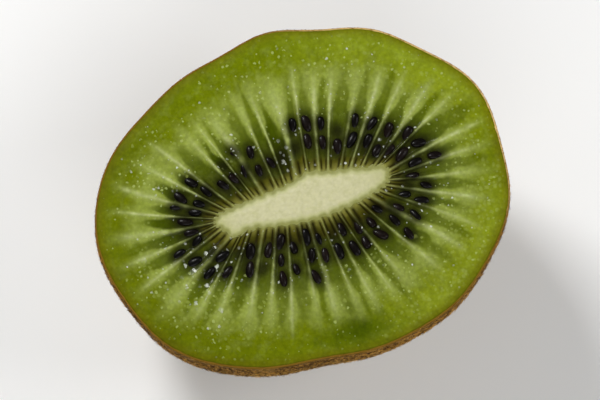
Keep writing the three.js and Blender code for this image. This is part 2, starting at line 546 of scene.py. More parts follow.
class Bench:
    """The node tree of one material, with short calls for the nodes that the finishes share."""

    def __init__(self, name: str) -> None:
        """Starts a material that holds one shader.

        Args:
            name: the material's name.
        """
        self.material = bpy.data.materials.new(name)
        self.material.use_nodes = True
        self.nodes = self.material.node_tree.nodes
        self.links = self.material.node_tree.links
        self.shader = self.nodes["Principled BSDF"]
        self.where = self.nodes.new("ShaderNodeTexCoord").outputs["Object"]

    def plug(self, socket: Socket, value: object) -> None:
        """Joins a socket to another one, or sets its number or colour.

        Args:
            socket: the socket.
            value: the other socket, the number or the colour.
        """
        if isinstance(value, Socket):
            self.links.new(value, socket)
        else:
            socket.default_value = value

    def shade(self, **values: object) -> None:
        """Sets sockets of the shader. An underscore stands for the space in a socket's name."""
        for name, value in values.items():
            self.plug(self.shader.inputs[name.replace("_", " ")], value)

    def mark(self, name: str, kind: str = "Fac") -> Socket:
        """Reads what the mesh carries at each vertex.

        Args:
            name: the mark's name.
            kind: the output to take, which is one number unless said otherwise.

        Returns:
            The mark.
        """
        node = self.nodes.new("ShaderNodeAttribute")
        node.attribute_name = name
        return node.outputs[kind]

    def arrow(self, name: str) -> Socket:
        """Three numbers that the mesh carries at each vertex."""
        return self.mark(name, "Vector")

    def split(self, arrow: Socket) -> tuple[Socket, ...]:
        """The three numbers of an arrow, one by one.

        Args:
            arrow: three numbers in one socket.

        Returns:
            A socket for each.
        """
        node = self.nodes.new("ShaderNodeSeparateXYZ")
        self.plug(node.inputs[0], arrow)
        return tuple(node.outputs)

    def scaled(self, arrow: Socket, scale: tuple[float, float, float]) -> Socket:
        """An arrow drawn out or pressed together along each axis.

        Args:
            arrow: three numbers in one socket.
            scale: how far along each axis.

        Returns:
            The arrow that comes out.
        """
        node = self.nodes.new("ShaderNodeMapping")
        self.plug(node.inputs["Vector"], arrow)
        node.inputs["Scale"].default_value = scale
        return node.outputs["Vector"]

    def noise(self, grain: Grain, where: Socket | None = None) -> Socket:
        """Lays a grain over the surface.

        Args:
            grain: its sizes.
            where: other coordinates than the object's own, in metres.

        Returns:
            A number of about 0.2 to 0.8.
        """
        node = self.nodes.new("ShaderNodeTexNoise")
        node.noise_dimensions = "4D"
        self.plug(node.inputs["Vector"], self.where if where is None else where)
        sizes = {
            "W": grain.seed,
            "Scale": 1 / (grain.size * MILLIMETRE),
            "Detail": grain.detail,
            "Roughness": grain.roughness,
            "Distortion": grain.distortion,
        }
        for name, number in sizes.items():
            node.inputs[name].default_value = number
        return node.outputs["Fac"]

    def cells(self, size: float) -> Socket:
        """The distance to the nearest of many scattered points, which looks like small round cells.

        Args:
            size: the distance between two of them, in millimetres.

        Returns:
            The distance, in shares of the size.
        """
        node = self.nodes.new("ShaderNodeTexVoronoi")
        node.feature = "SMOOTH_F1"
        self.plug(node.inputs["Vector"], self.where)
        node.inputs["Scale"].default_value = 1 / (size * MILLIMETRE)
        return node.outputs["Distance"]

    def drops(self, size: float, radius: float, density: object) -> Socket:
        """Scattered round drops on a level face.

        Args:
            size: the distance between two of their places, in millimetres.
            radius: of the largest drop, in millimetres.
            density: the share of the places that hold a drop, from 0 to 1.

        Returns:
            A height of up to 1 in a drop's middle and 0 outside it.
        """
        node = self.nodes.new("ShaderNodeTexVoronoi")
        node.voronoi_dimensions = "2D"
        self.plug(node.inputs["Vector"], self.where)
        node.inputs["Scale"].default_value = 1 / (size * MILLIMETRE)
        draw, girth, force = self.split(node.outputs["Color"])
        share = self.sum(Sum.OVER, node.outputs["Distance"], self.span(girth, 0, 1, 0.4, 1.0))
        share = self.times(share, size / radius)
        share = self.plus(share, self.span(self.noise(Grain(radius, 1.0)), 0.25, 0.75, -0.3, 0.3))
        dome = self.sum(Sum.LARGER, self.sum(Sum.MINUS, 1.0, self.times(share, share)), 0.0)
        dome = self.times(dome, self.span(force, 0, 1, 0.25, 1.0))
        return self.times(dome, self.sum(Sum.BELOW, draw, density))

    def high(self, low: float, top: float) -> Socket:
        """0 below one height and 1 above another, both in metres."""
        return self.span(self.split(self.where)[2], low, top)

    def bell(self, away: object, width: object) -> Socket:
        """1 where a number is 0, falling to 0 on both sides like a bell of some width."""
        off = self.sum(Sum.OVER, away, width)
        return self.sum(Sum.GROWTH, self.times(off, off, -1.0))

    def span(
        self, value: Socket, low: float, high: float, to_low: float = 0.0, to_high: float = 1.0
    ) -> Socket:
        """Takes a number smoothly from one range to another, and holds it at the ends.

        Args:
            value: the number.
            low: the start of its range.
            high: the end of its range.
            to_low: the start of the new range.
            to_high: the end of the new range.

        Returns:
            The number in the new range.
        """
        node = self.nodes.new("ShaderNodeMapRange")
        node.interpolation_type = "SMOOTHSTEP"
        for name, number in zip(("From Min", "From Max", "To Min", "To Max"), (low, high, to_low, to_high)):
            node.inputs[name].default_value = number
        self.plug(node.inputs["Value"], value)
        return node.outputs["Result"]

    def sum(self, kind: Sum, first: object, second: object = 0.0) -> Socket:
        """Puts two numbers through a Math node.

        Args:
            kind: which sum it does.
            first: the first number.
            second: the second one, where the sum takes two.

        Returns:
            The result.
        """
        node = self.nodes.new("ShaderNodeMath")
        node.operation = kind.value
        self.plug(node.inputs[0], first)
        self.plug(node.inputs[1], second)
        return node.outputs[0]

    def times(self, *factors: object) -> Socket:
        """Numbers multiplied one after another."""
        return reduce(lambda first, second: self.sum(Sum.TIMES, first, second), factors)

    def plus(self, first: object, second: object) -> Socket:
        """Two numbers added up."""
        return self.sum(Sum.PLUS, first, second)

    def tinted(self, colour: object, tint: object, share: object = 1.0) -> Socket:
        """A colour multiplied by a second one or by a number."""
        return self.blend(share, colour, tint, Mix.TINT)

    def blend(self, share: object, under: object, over: object, way: Mix = Mix.COVER) -> Socket:
        """One colour laid over another.

        Args:
            share: how much of the upper colour.
            under: the lower colour.
            over: the upper colour.
            way: how it is laid on.

        Returns:
            The mixed colour.
        """
        node = self.nodes.new("ShaderNodeMix")
        node.data_type = "RGBA"
        node.blend_type = way.value
        sockets = {socket.identifier: socket for socket in node.inputs}
        self.plug(sockets["Factor_Float"], share)
        self.plug(sockets["A_Color"], under)
        self.plug(sockets["B_Color"], over)
        return next(socket for socket in node.outputs if socket.identifier == "Result_Color")

    def strip(self, value: object, stops: dict[float, tuple[float, ...]]) -> Socket:
        """A strip of colours that a number picks from, with smooth steps between them.

        Args:
            value: the number.
            stops: the colours, each by its place on the strip from 0 to 1.

        Returns:
            The picked colour.
        """
        node = self.nodes.new("ShaderNodeValToRGB")
        node.color_ramp.interpolation = "EASE"
        elements = node.color_ramp.elements
        while len(elements) < len(stops):
            elements.new(0.5)
        for element, (position, colour) in zip(elements, sorted(stops.items())):
            element.position = position
            element.color = colour
        self.plug(node.inputs["Fac"], value)
        return node.outputs["Color"]

    def bump(self, height: object, strength: float, depth: float, under: object = None) -> Socket:
        """A surface normal bent by a height.

        Args:
            height: the height's number.
            strength: how much of it to take, from 0 to 1.
            depth: how far one unit of height is, in millimetres.
            under: a normal to bend further.

        Returns:
            The bent normal.
        """
        node = self.nodes.new("ShaderNodeBump")
        node.inputs["Strength"].default_value = strength
        node.inputs["Distance"].default_value = depth * MILLIMETRE
        self.plug(node.inputs["Height"], height)
        if under is not None:
            self.plug(node.inputs["Normal"], under)
        return node.outputs["Normal"]


@dataclass
class CutPattern:
    """The walls, seed chambers and grain of the cut face, as numbers for each of its points."""

    form: FruitForm
    turn: np.ndarray
    way: np.ndarray
    wander: float = 0.06  # how far the walls bend on the way out, in chambers
    uneven: float = 0.1  # how far they stand off even spacing, in chambers
    wall_height: float = 0.05
    wall_breadth: float = 0.16  # of the ridge that a wall makes
    wall_patchiness: float = 0.25
    wall_fading: float = 5.0  # over this length a wall fades to its end
    strengths: tuple[float, float] = (0.55, 1.0)  # of the weakest and the strongest wall
    wall_reaches: tuple[float, float] = (11.0, 15.0)
    chamber_reaches: tuple[float, float] = (10.4, 14.6)
    tones: tuple[float, float] = (0.75, 1.0)  # how dark the wedges are
    comb_reaches: tuple[float, float] = (1.4, 2.4)
    pace: float = 7.0  # millimetres outwards for a unit of the third coordinate of a spot
    wedge_share: float = 0.5  # half of a dark wedge's breadth, in chambers
    wedge_start: float = 3.8  # where the wedges begin to narrow
    wedge_raggedness: float = 0.1
    wedge_fading: float = 3.5  # over this length a wedge fades to its point
    far_reach: float = 1.6  # how much longer they are on the far side of the core
    near_reach: float = 1.3  # and on the near side
    near_tone: float = 0.12  # how much lighter they are there
    halo_start: float = 6.0  # where the pale flesh beside the walls begins
    near_halo: float = 1.2  # how much farther out it begins on the near side
    longer: float = 0.7  # how much longer the wedges are everywhere
    cropped: float = 2.6  # how much shorter they are in one stretch, at this angle and this far each way
    cropped_at: float = math.radians(140)
    cropped_spread: float = math.radians(32)
    near_comb: float = 1.0  # how much farther out the comb runs on the near side
    buried: float = 5.4  # seeds under the cut darken it no farther out than this
    shown_shadow: tuple[float, float] = (0.76, 0.9)  # how broad in seeds and how dark, where a seed shows
    buried_shadow: tuple[float, float] = (0.6, 0.8)  # and where it lies under the cut
    press: float = 0.03  # how deep the flesh is pressed in round a seed
    tuck: float = 0.3  # how far the face runs in under the core's edge
    tuck_depth: float = 0.06
    lip: tuple[float, float] = (-0.15, 0.35)  # from here to here the pale edge round the core ends
    comb_softness: float = 0.8  # over this length the comb ends
    comb_raggedness: float = 0.15
    grain_height: float = 0.008
    bruise_at: tuple[float, float] = (2.6, -18.3)  # a soft dark patch near the rim
    bruise_size: tuple[float, float] = (4.4, 1.9)
    bruise_raggedness: float = 0.25
    wettest: tuple[tuple[float, float, float], ...] = (  # where the wettest patches lie, with the most drops and painted glints, and their reach
        (-14.7, -6.9, 4.5),
        (13.7, 3.1, 2.4),
        (-1.2, 5.6, 1.9),
        (2.2, -6.3, 1.9),
    )
    bends: Waves = Waves(3, 3.0)
    spacing: Waves = Waves(4, 2.1)
    clearness: Waves = Waves(5, 1.6)
    wedge_edges: Waves = Waves(11, 0.7)
    comb_ends: Waves = Waves(13, 2.0)
    grain: Waves = Waves(17, 0.5, 40)
    grain_patches: Waves = Waves(19, 4.0)
    bruise_edge: Waves = Waves(59, 2.5)
    seed: int = 7

    def __post_init__(self) -> None:
        """Measures the grid of points and draws the walls' and chambers' own numbers."""
        count = self.form.chambers
        inner = self.form.core_edge(self.turn, -self.tuck, 1.0)
        rim = self.form.skin(self.turn, 0.0)[..., :2]
        span = np.linalg.norm(rim - inner, axis=-1)
        self.out = self.way * span - self.tuck
        self.left = (1 - self.way) * span
        along = TURN * self.turn
        wheel = count / TURN
        self.spot = np.stack([wheel * np.cos(along), wheel * np.sin(along), self.out / self.pace], axis=-1)
        ring = self.spot * (1, 1, 0)
        stray = self.wander * self.bends.at(self.spot) + self.uneven * self.spacing.at(ring)
        self.place = self.turn * count + stray
        self.base = self.form.face(self.turn, self.way, -self.tuck, self.place)
        step = (np.roll(self.base, -1, axis=1) - self.base)[..., :2]
        self.pitch = np.linalg.norm(step, axis=-1) * self.turn.shape[1] / count
        draw = np.random.default_rng(self.seed)
        self.wall_strength = draw.uniform(*self.strengths, count)
        self.wall_reach = draw.uniform(*self.wall_reaches, count)
        self.chamber_reach = draw.uniform(*self.chamber_reaches, count)
        around = TURN * np.arange(count) / count
        far, near = np.maximum(0, np.sin(around)), np.maximum(0, -np.sin(around))
        self.chamber_reach += self.far_reach * far + self.near_reach * near + self.longer
        aside = (around - self.cropped_at) / self.cropped_spread
        self.chamber_reach -= self.cropped * np.exp(-(aside**2))
        self.chamber_tone = draw.uniform(*self.tones, count) * (1 - self.near_tone * near)
        self.comb_reach = draw.uniform(*self.comb_reaches, count) + self.near_comb * near

    def from_wall(self) -> np.ndarray:
        """The distance to the nearest wall, in millimetres."""
        return np.abs(self.place - np.round(self.place)) * self.pitch

    def from_middle(self) -> np.ndarray:
        """The distance to the middle of the point's own chamber, in chambers."""
        return np.abs(self.place - np.floor(self.place) - 0.5)

    def chamber(self) -> np.ndarray:
        """Which chamber each point lies in."""
        return np.floor(self.place).astype(int) % self.form.chambers

    def ray(self) -> np.ndarray:
        """How strong the nearest wall is here: thin by the core, clearest past the seeds, then fading.

        Returns:
            A share for each point.
        """
        nearest = np.round(self.place).astype(int) % self.form.chambers
        reach = self.wall_reach[nearest]
        clear = 0.4 + 0.6 * ramp(2.0, 8.0, self.out)
        fade = (1 - ramp(reach - self.wall_fading, reach, self.out)) * ramp(1.0, 3.5, self.left)
        patchy = 1 + self.wall_patchiness * self.clearness.at(self.base[..., :2])
        return np.clip(self.wall_strength[nearest] * clear * fade * patchy, 0, 1)

    def halo(self) -> np.ndarray:
        """How much of the pale flesh that lies along both sides of a wall is here.

        Returns:
            A share for each point.
        """
        broad = 0.22 + 0.03 * self.out
        side = np.exp(-((self.from_wall() / broad) ** 2))
        start = self.halo_start + self.near_halo * np.maximum(0, -np.sin(TURN * self.turn))
        return side * ramp(start, start + 4.0, self.out) * (1 - ramp(10.0, 14.5, self.out))

    def wedge(self) -> np.ndarray:
        """How much of each point is in a dark wedge, which ends in a ragged point on the way out.

        Returns:
            A share for each point.
        """
        reach = self.chamber_reach[self.chamber()]
        narrowed = 1 - np.clip((self.out - self.wedge_start) / (reach - self.wedge_start), 0, 1)
        edges = self.wedge_edges.at(self.spot * (1, 1, 2))
        ragged = self.wedge_raggedness * edges * ramp(2, 7, self.out)
        inside = (self.wedge_share * narrowed - self.from_middle()) * self.pitch + ragged
        soft = 0.1 + 0.018 * self.out
        return ramp(-1, 1, inside / soft) * (1 - ramp(reach - self.wedge_fading, reach, self.out))

    def shadow(self) -> np.ndarray:
        """How dark the flesh is round the seeds and over those that lie under the cut.

        Returns:
            A share for each point.
        """
        shadow = np.zeros_like(self.out)
        for place in self.form.seed_places():
            if not place.shown and place.reach > self.buried:
                continue
            at = self.form.face(np.array(place.turn), np.array(place.way), self.form.core_gap)
            away = self.base[..., :2] - at[:2]
            along = away @ (math.cos(place.heading), math.sin(place.heading))
            aside = away @ (-math.sin(place.heading), math.cos(place.heading))
            spread, depth = self.shown_shadow if place.shown else self.buried_shadow
            length = self.form.seed_length * place.size * spread
            width = self.form.seed_width * place.size * spread
            reach = (along / length) ** 2 + (aside / width) ** 2
            shadow = np.maximum(shadow, depth * np.exp(-(reach**1.5)))
        return shadow

    def bruise(self) -> np.ndarray:
        """How much of each point is in the dark patch near the rim.

        Returns:
            A share for each point.
        """
        away = (self.base[..., :2] - self.bruise_at) / self.bruise_size
        ragged = 1 + self.bruise_raggedness * self.bruise_edge.at(self.base[..., :2])
        return np.exp(-np.linalg.norm(away, axis=-1) ** 2 * ragged)

    def wet(self) -> np.ndarray:
        """How much of each point is in one of the wettest patches, where drops and painted glints gather.

        Returns:
            A share for each point.
        """
        flat = self.base[..., :2]
        away = [np.linalg.norm(flat - place, axis=-1) / reach for *place, reach in self.wettest]
        return np.max([np.exp(-(share**2)) for share in away], axis=0)

    def marks(self) -> Marks:
        """The numbers that the flesh's finish reads, by name.

        Returns:
            One row of numbers or arrows for each name.
        """
        wedge = self.wedge()
        comb_reach = self.comb_reach[self.chamber()]
        ragged = self.out + self.comb_raggedness * self.comb_ends.at(self.spot)
        phase = TURN * self.place
        return {
            "way": self.way,
            "out": self.out / FAR,
            "left": self.left / FAR,
            "ray": self.ray(),
            "halo": self.halo(),
            "wedge": wedge * self.chamber_tone[self.chamber()],
            "comb": 1 - ramp(comb_reach - self.comb_softness, comb_reach, ragged),
            "lip": 1 - ramp(*self.lip, self.out),
            "shadow": self.shadow(),
            "bruise": self.bruise(),
            "wet": self.wet(),
            "phase": np.stack([np.cos(phase), np.sin(phase), self.pitch], axis=-1),
            "spot": self.spot,
        }

    def points(self) -> np.ndarray:
        """Gives the face walls that stand up a little, seeds pressed in and a wet uneven grain.

        Returns:
            The face's points.
        """
        flat = self.base[..., :2]
        grain = self.grain.at(flat) * (0.6 + 0.4 * self.grain_patches.at(flat))
        quiet = ramp(0.0, 0.6, self.out) * ramp(0.2, 0.8, self.left)
        ridge = np.exp(-((self.from_wall() / self.wall_breadth) ** 2))
        ridge *= self.ray() * ramp(0.3, 1.0, self.out)
        points = self.base.copy()
        points[..., 2] += quiet * (
            self.grain_height * grain + self.wall_height * ridge - self.press * self.shadow()
        )
        points[..., 2] -= self.tuck_depth * (1 - ramp(-self.tuck, 0.1, self.out))
        return points


class Finish(ABC):
    """The look of one kind of surface."""

    name: ClassVar[str]

    def material(self) -> bpy.types.Material:
        """Makes the material.

        Returns:
            The material, with its shader dressed.
        """
        bench = Bench(self.name)
        self.dress(bench)
        return bench.material

    @abstractmethod
    def dress(self, bench: Bench) -> None:
        """Sets the sockets of the shader among the material's nodes."""


@dataclass(frozen=True)
class FleshFinish(Finish):
    """Wet green flesh: dark wedges, pale walls, an olive comb by the core, a green band outside, painted
    glints, light and shade.
    """

    name: ClassVar[str] = "wet_green_flesh"

    mid: Paint = paint(112, 124, 32)
    pale: Paint = paint(136, 149, 60)
    bright: Paint = paint(158, 170, 88)
    outer: Paint = paint(111, 124, 6)
    edge: Paint = paint(110, 111, 6)
    # painted light: the lighter, yellower green of the outer band's east side
    painted_sunlit: Paint = paint(142, 155, 34)
    # painted shade: darkens the outer band on the west side
    west: Paint = paint(237, 236, 232)
    north: Paint = paint(246, 249, 240)
    bruise: Paint = paint(74, 90, 2)
    deep: Paint = paint(34, 36, 4)
    dark: Paint = paint(42, 49, 2)
    wedge: Paint = paint(62, 75, 0)
    tip: Paint = paint(91, 104, 6)
    comb: Paint = paint(84, 82, 16)
    strand: Paint = paint(128, 126, 56)
    lip: Paint = paint(142, 144, 78)
    slot: Paint = paint(36, 32, 2)
    wall: Paint = paint(182, 191, 126)
    shadow: Paint = paint(16, 14, 2)
    speck: Paint = paint(176, 190, 112)
    cell: Paint = paint(158, 171, 82)
    # painted glints: the near-white colour laid on the drops' tops as highlights
    glint: Paint = paint(222, 228, 214)
    clouds: Grain = Grain(5.0, 3.0, 0.55)
    grain: Grain = Grain(0.6, 4.0, 0.6, 0.3, 2.0)
    darker: float = 0.87  # how much light the darkest grain lets back
    pore_size: float = 0.38
    streaks: Grain = Grain(0.6, 3.0, 0.65, seed=1.0)
    streak_scale: tuple[float, float, float] = (1e-3, 1e-3, 7e-4)
    flecks: Grain = Grain(0.45, 3.0, 0.6, seed=31.0)
    fleck_scale: tuple[float, float, float] = (1e-3, 1e-3, 3e-3)
    wall_width: float = 0.11  # of a wall's bright line by the core, in millimetres
    wall_flare: float = 0.012  # how much broader it is for each millimetre outwards
    wall_stray: Grain = Grain(1.4, 3.0, 0.6, seed=21.0)
    wall_breaks: Grain = Grain(0.7, 3.0, 0.6, seed=23.0)
    slot_width: float = 0.17
    slot_place: float = 0.24  # how far a slot lies from its wall, in chambers
    strewing: Grain = Grain(5.0, 3.0, 0.6, seed=14.0)
    speck_size: float = 0.66  # the distance between two places where a pale speck may lie
    speck_radius: float = 0.22
    cell_size: float = 0.62  # and where a broad soft pale cell may lie
    cell_radius: float = 0.38
    clusters: Grain = Grain(4.0, 3.0, 0.6, seed=12.0)
    drop_size: float = 0.7
    drop_radius: float = 0.26
    drop_height: float = 0.05
    bead_size: float = 0.95  # the broader drops of the wettest patches
    bead_radius: float = 0.42
    # how bright each painted glint is, from drop to drop
    glimmer: Grain = Grain(0.9, seed=16.0)
    gloss: Grain = Grain(1.1, 3.0, 0.6, seed=9.0)

    def walls(self, bench: Bench, out: Socket) -> tuple[Socket, Socket]:
        """Draws the walls and the dark slots of the comb.

        Args:
            bench: the material's nodes.
            out: the distance from the core, in millimetres.

        Returns:
            How much of the surface is wall, and how much is slot.
        """
        cosine, sine, pitch = bench.split(bench.arrow("phase"))
        turned = bench.sum(Sum.OVER, bench.sum(Sum.ANGLE, sine, cosine), TURN)
        share = bench.sum(Sum.UNSIGNED, turned)
        stray = bench.span(bench.noise(self.wall_stray), 0.2, 0.8, -0.045, 0.045)
        away = bench.plus(bench.times(share, pitch), stray)
        width = bench.plus(bench.times(out, self.wall_flare), self.wall_width)
        broken = bench.span(bench.noise(self.wall_breaks), 0.3, 0.65, 0.6, 1.0)
        wall = bench.times(bench.bell(away, width), bench.times(bench.mark("ray"), broken))
        beside = bench.times(bench.sum(Sum.MINUS, share, self.slot_place), pitch)
        slot = bench.times(bench.bell(beside, self.slot_width), bench.mark("comb"))
        return wall, bench.times(slot, bench.span(out, 0.0, 0.5, 0.35, 0.95))

    def flesh(self, bench: Bench, out: Socket) -> Socket:
        """Mixes the colour of the flesh with its zones, wedges and comb, and paints light on its east side
        and shade on its west, before the walls.

        Args:
            bench: the material's nodes.
            out: the distance from the core, in millimetres.

        Returns:
            The colour.
        """
        spot = bench.arrow("spot")
        streaks = bench.noise(self.streaks, bench.scaled(spot, self.streak_scale))
        flecks = bench.noise(self.flecks, bench.scaled(spot, self.fleck_scale))
        way = bench.plus(bench.mark("way"), bench.span(bench.noise(self.clouds), 0.2, 0.8, -0.05, 0.05))
        way = bench.plus(way, bench.span(streaks, 0.3, 0.7, -0.06, 0.06))
        base = bench.strip(way, {0.35: self.mid, 0.52: self.pale, 0.62: self.pale, 0.82: self.outer})
        east, north, _ = bench.split(bench.where)  # metres from the middle of the fruit
        outside = bench.span(way, 0.65, 0.85)
        # Painted light: the outer band is lighter and yellower on the east side, most towards its north and
        # south.
        painted_sunlit = bench.times(outside, bench.span(east, 0.0, 0.012, 0.0, 0.7))
        aside = bench.span(bench.sum(Sum.UNSIGNED, north), 0.002, 0.01, 0.15, 1.0)
        base = bench.blend(bench.times(painted_sunlit, aside), base, self.painted_sunlit)
        lighter = bench.times(bench.span(flecks, 0.45, 0.75), bench.span(way, 0.55, 0.85, 0.45, 0.2))
        base = bench.blend(lighter, base, self.bright)
        base = bench.blend(bench.span(flecks, 0.28, 0.5, 0.25, 0.0), base, self.outer)
        base = bench.blend(bench.span(bench.mark("left"), 0.0, 0.09, 0.95, 0.0), base, self.edge)
        # Painted shade: the outer band is darker on the west side.
        western = bench.span(east, -0.02, -0.002, 1.0, 0.0)
        base = bench.tinted(base, self.west, bench.times(outside, western))
        base = bench.tinted(base, self.north, bench.times(outside, bench.span(north, 0.004, 0.016)))
        base = bench.blend(bench.mark("bruise"), base, self.bruise)
        base = bench.blend(bench.times(bench.mark("halo"), 0.6), base, self.bright)
        wedge = bench.times(bench.mark("wedge"), bench.span(streaks, 0.3, 0.6, 0.75, 1.0))
        depths = {0.1: self.deep, 0.22: self.dark, 0.35: self.wedge, 0.52: self.tip}
        base = bench.blend(wedge, base, bench.strip(bench.mark("out"), depths))
        comb = bench.blend(bench.span(out, 0, 1.4), self.strand, self.comb)
        base = bench.blend(bench.mark("comb"), base, comb)
        base = bench.blend(bench.times(bench.mark("lip"), 0.8), base, self.lip)
        return bench.tinted(base, bench.span(streaks, 0.25, 0.75, 0.9, 1.1))

    def strewn(self, bench: Bench, base: Socket, out: Socket) -> Socket:
        """Strews pale specks and soft pale cells over the flesh.

        Args:
            bench: the material's nodes.
            base: the colour of the flesh.
            out: the distance from the core, in millimetres.

        Returns:
            The colour with both on it.
        """
        left = bench.mark("left")
        within = bench.span(left, 0.02, 0.08)
        share = bench.span(bench.noise(self.strewing), 0.4, 0.6, 0.06, 0.36)
        specks = bench.span(bench.drops(self.speck_size, self.speck_radius, share), 0.0, 0.7)
        specks = bench.times(specks, bench.span(out, 4.0, 8.0, 0.0, 0.6), within)
        base = bench.blend(specks, base, self.speck)
        east, north, _ = bench.split(bench.where)  # metres from the middle of the fruit
        aside = bench.span(bench.sum(Sum.UNSIGNED, bench.plus(east, 0.002)), 0.002, 0.012, 0.15, 0.9)
        ripe = bench.span(left, 0.1, 0.24, 0.1, 1.0)
        ripe = bench.sum(Sum.LARGER, ripe, bench.span(east, -0.004, 0.012))
        upper = bench.span(north, -0.01, 0.008, 1.0, 0.35)
        grown = bench.times(aside, bench.span(out, 6.5, 10.0), upper, ripe)
        cells = bench.span(bench.drops(self.cell_size, self.cell_radius, grown), 0.0, 1.0, 0.0, 0.42)
        return bench.blend(bench.times(cells, within), base, self.cell)

    def wetness(self, bench: Bench, out: Socket, wall: Socket) -> Socket:
        """Sets drops on the walls, beside the seeds and in the wettest patches.

        Args:
            bench: the material's nodes.
            out: the distance from the core, in millimetres.
            wall: how much of the surface is wall.

        Returns:
            The height of the drops, up to 1, which also places the painted glints.
        """
        cluster = bench.span(bench.noise(self.clusters), 0.47, 0.58, 0.04, 0.7)
        near = bench.span(out, 7.0, 10.0, 1.0, 0.25)
        cluster = bench.times(cluster, near, bench.span(wall, 0.0, 0.4, 0.5, 2.0))
        shade = bench.sum(Sum.MINUS, bench.mark("shadow"), 0.25)
        beside = bench.times(bench.bell(shade, 0.2), 0.22)
        shiny = bench.times(bench.mark("wet"), bench.span(wall, 0.0, 0.4, 0.4, 1.0))
        cluster = bench.sum(Sum.LARGER, bench.sum(Sum.LARGER, cluster, beside), shiny)
        drops = bench.drops(self.drop_size, self.drop_radius, cluster)
        beads = bench.drops(self.bead_size, self.bead_radius, bench.times(shiny, 0.85))
        return bench.sum(Sum.LARGER, drops, beads)

    def dress(self, bench: Bench) -> None:
        """Lays the walls, shadows, grain and drops over the flesh, paints glints on the drops, and wets it.

        Args:
            bench: the material's nodes.
        """
        out = bench.times(bench.mark("out"), FAR)
        left = bench.mark("left")
        shadow = bench.mark("shadow")
        wall, slot = self.walls(bench, out)
        base = bench.blend(slot, self.flesh(bench, out), self.slot)
        base = bench.blend(wall, base, self.wall)
        base = bench.blend(shadow, base, self.shadow)
        fine = bench.noise(self.grain)
        base = bench.tinted(base, bench.span(fine, 0.25, 0.75, self.darker, 2 - self.darker))
        base = bench.tinted(base, bench.span(bench.cells(self.pore_size), 0.1, 0.7, 1.05, 0.92))
        # Painted shade and light: the whole face is darker towards the south and lighter towards the north.
        north = bench.split(bench.where)[1]
        base = bench.tinted(base, bench.span(north, -0.022, 0.015, 0.93, 1.03))
        base = self.strewn(bench, base, out)
        drops = self.wetness(bench, out, wall)
        # Painted glints: the tops of the drops are painted near white, brighter or fainter by a noise, as
        # highlights.
        wet = bench.span(bench.noise(self.glimmer), 0.35, 0.65, 0.15, 1.0)
        wet = bench.times(bench.span(drops, 0.2, 1.0), wet, bench.span(left, 0.03, 0.08))
        base = bench.blend(bench.times(wet, 0.8), base, self.glint)
        glossy = bench.times(bench.span(left, 0.04, 0.12), bench.span(out, 0.8, 2.4))
        glossy = bench.times(glossy, bench.sum(Sum.MINUS, 1.0, shadow))
        patches = bench.span(bench.noise(self.gloss), 0.3, 0.7, 0.2, 0.34)
        bench.shade(
            Base_Color=base,
            Roughness=bench.plus(patches, bench.span(glossy, 0.0, 1.0, 0.3, 0.0)),
            Normal=bench.bump(drops, 1.0, self.drop_height, bench.bump(fine, 0.5, 0.03)),
            IOR=1.36,
            Specular_IOR_Level=0.06,
            Subsurface_Weight=0.12,
            Subsurface_Radius=(0.6, 1.0, 0.25),
            Subsurface_Scale=0.4 * MILLIMETRE,
            Coat_Weight=bench.times(glossy, bench.span(drops, 0.0, 0.5, 0.1, 1.0)),
            Coat_Roughness=0.07,
            Coat_IOR=1.36,
        )


@dataclass(frozen=True)
class CoreFinish(Finish):
    """Pale cream core, finely granular, greener towards its ends and olive at its rim."""

    name: ClassVar[str] = "pale_core"

    middle: Paint = paint(207, 204, 162)
    ends: Paint = paint(190, 189, 138)
    near: Paint = paint(188, 189, 132)
    rim: Paint = paint(146, 148, 82)
    grit: Paint = paint(190, 189, 140)
    clouds: Grain = Grain(1.6, 3.0, 0.6, 0.4, 3.0)
    grain: Grain = Grain(0.8, 4.0, 0.6)
    pore_size: float = 0.4

    def dress(self, bench: Bench) -> None:
        """Grades the cream from the middle to the rim, and sets its soft dull gloss.

        Args:
            bench: the material's nodes.
        """
        fine = bench.noise(self.grain)
        edge = bench.plus(bench.mark("edge"), bench.span(bench.noise(self.clouds), 0.2, 0.8, -0.06, 0.06))
        base = bench.blend(bench.mark("end"), self.middle, self.ends)
        base = bench.blend(bench.span(fine, 0.42, 0.72, 0.0, 0.7), base, self.grit)
        base = bench.blend(bench.span(edge, 0.6, 0.92), base, self.near)
        base = bench.blend(bench.span(edge, 0.82, 1.0), base, self.rim)
        base = bench.tinted(base, bench.span(bench.cells(self.pore_size), 0.1, 0.7, 1.03, 0.96))
        bench.shade(
            Base_Color=base,
            Roughness=bench.span(fine, 0.3, 0.7, 0.42, 0.62),
            Normal=bench.bump(fine, 0.4, 0.06),
            IOR=1.37,
            Subsurface_Weight=0.25,
            Subsurface_Radius=(1.0, 1.0, 0.6),
            Subsurface_Scale=0.7 * MILLIMETRE,
            Specular_IOR_Level=0.3,
            Coat_Weight=0.05,
            Coat_Roughness=0.25,
        )


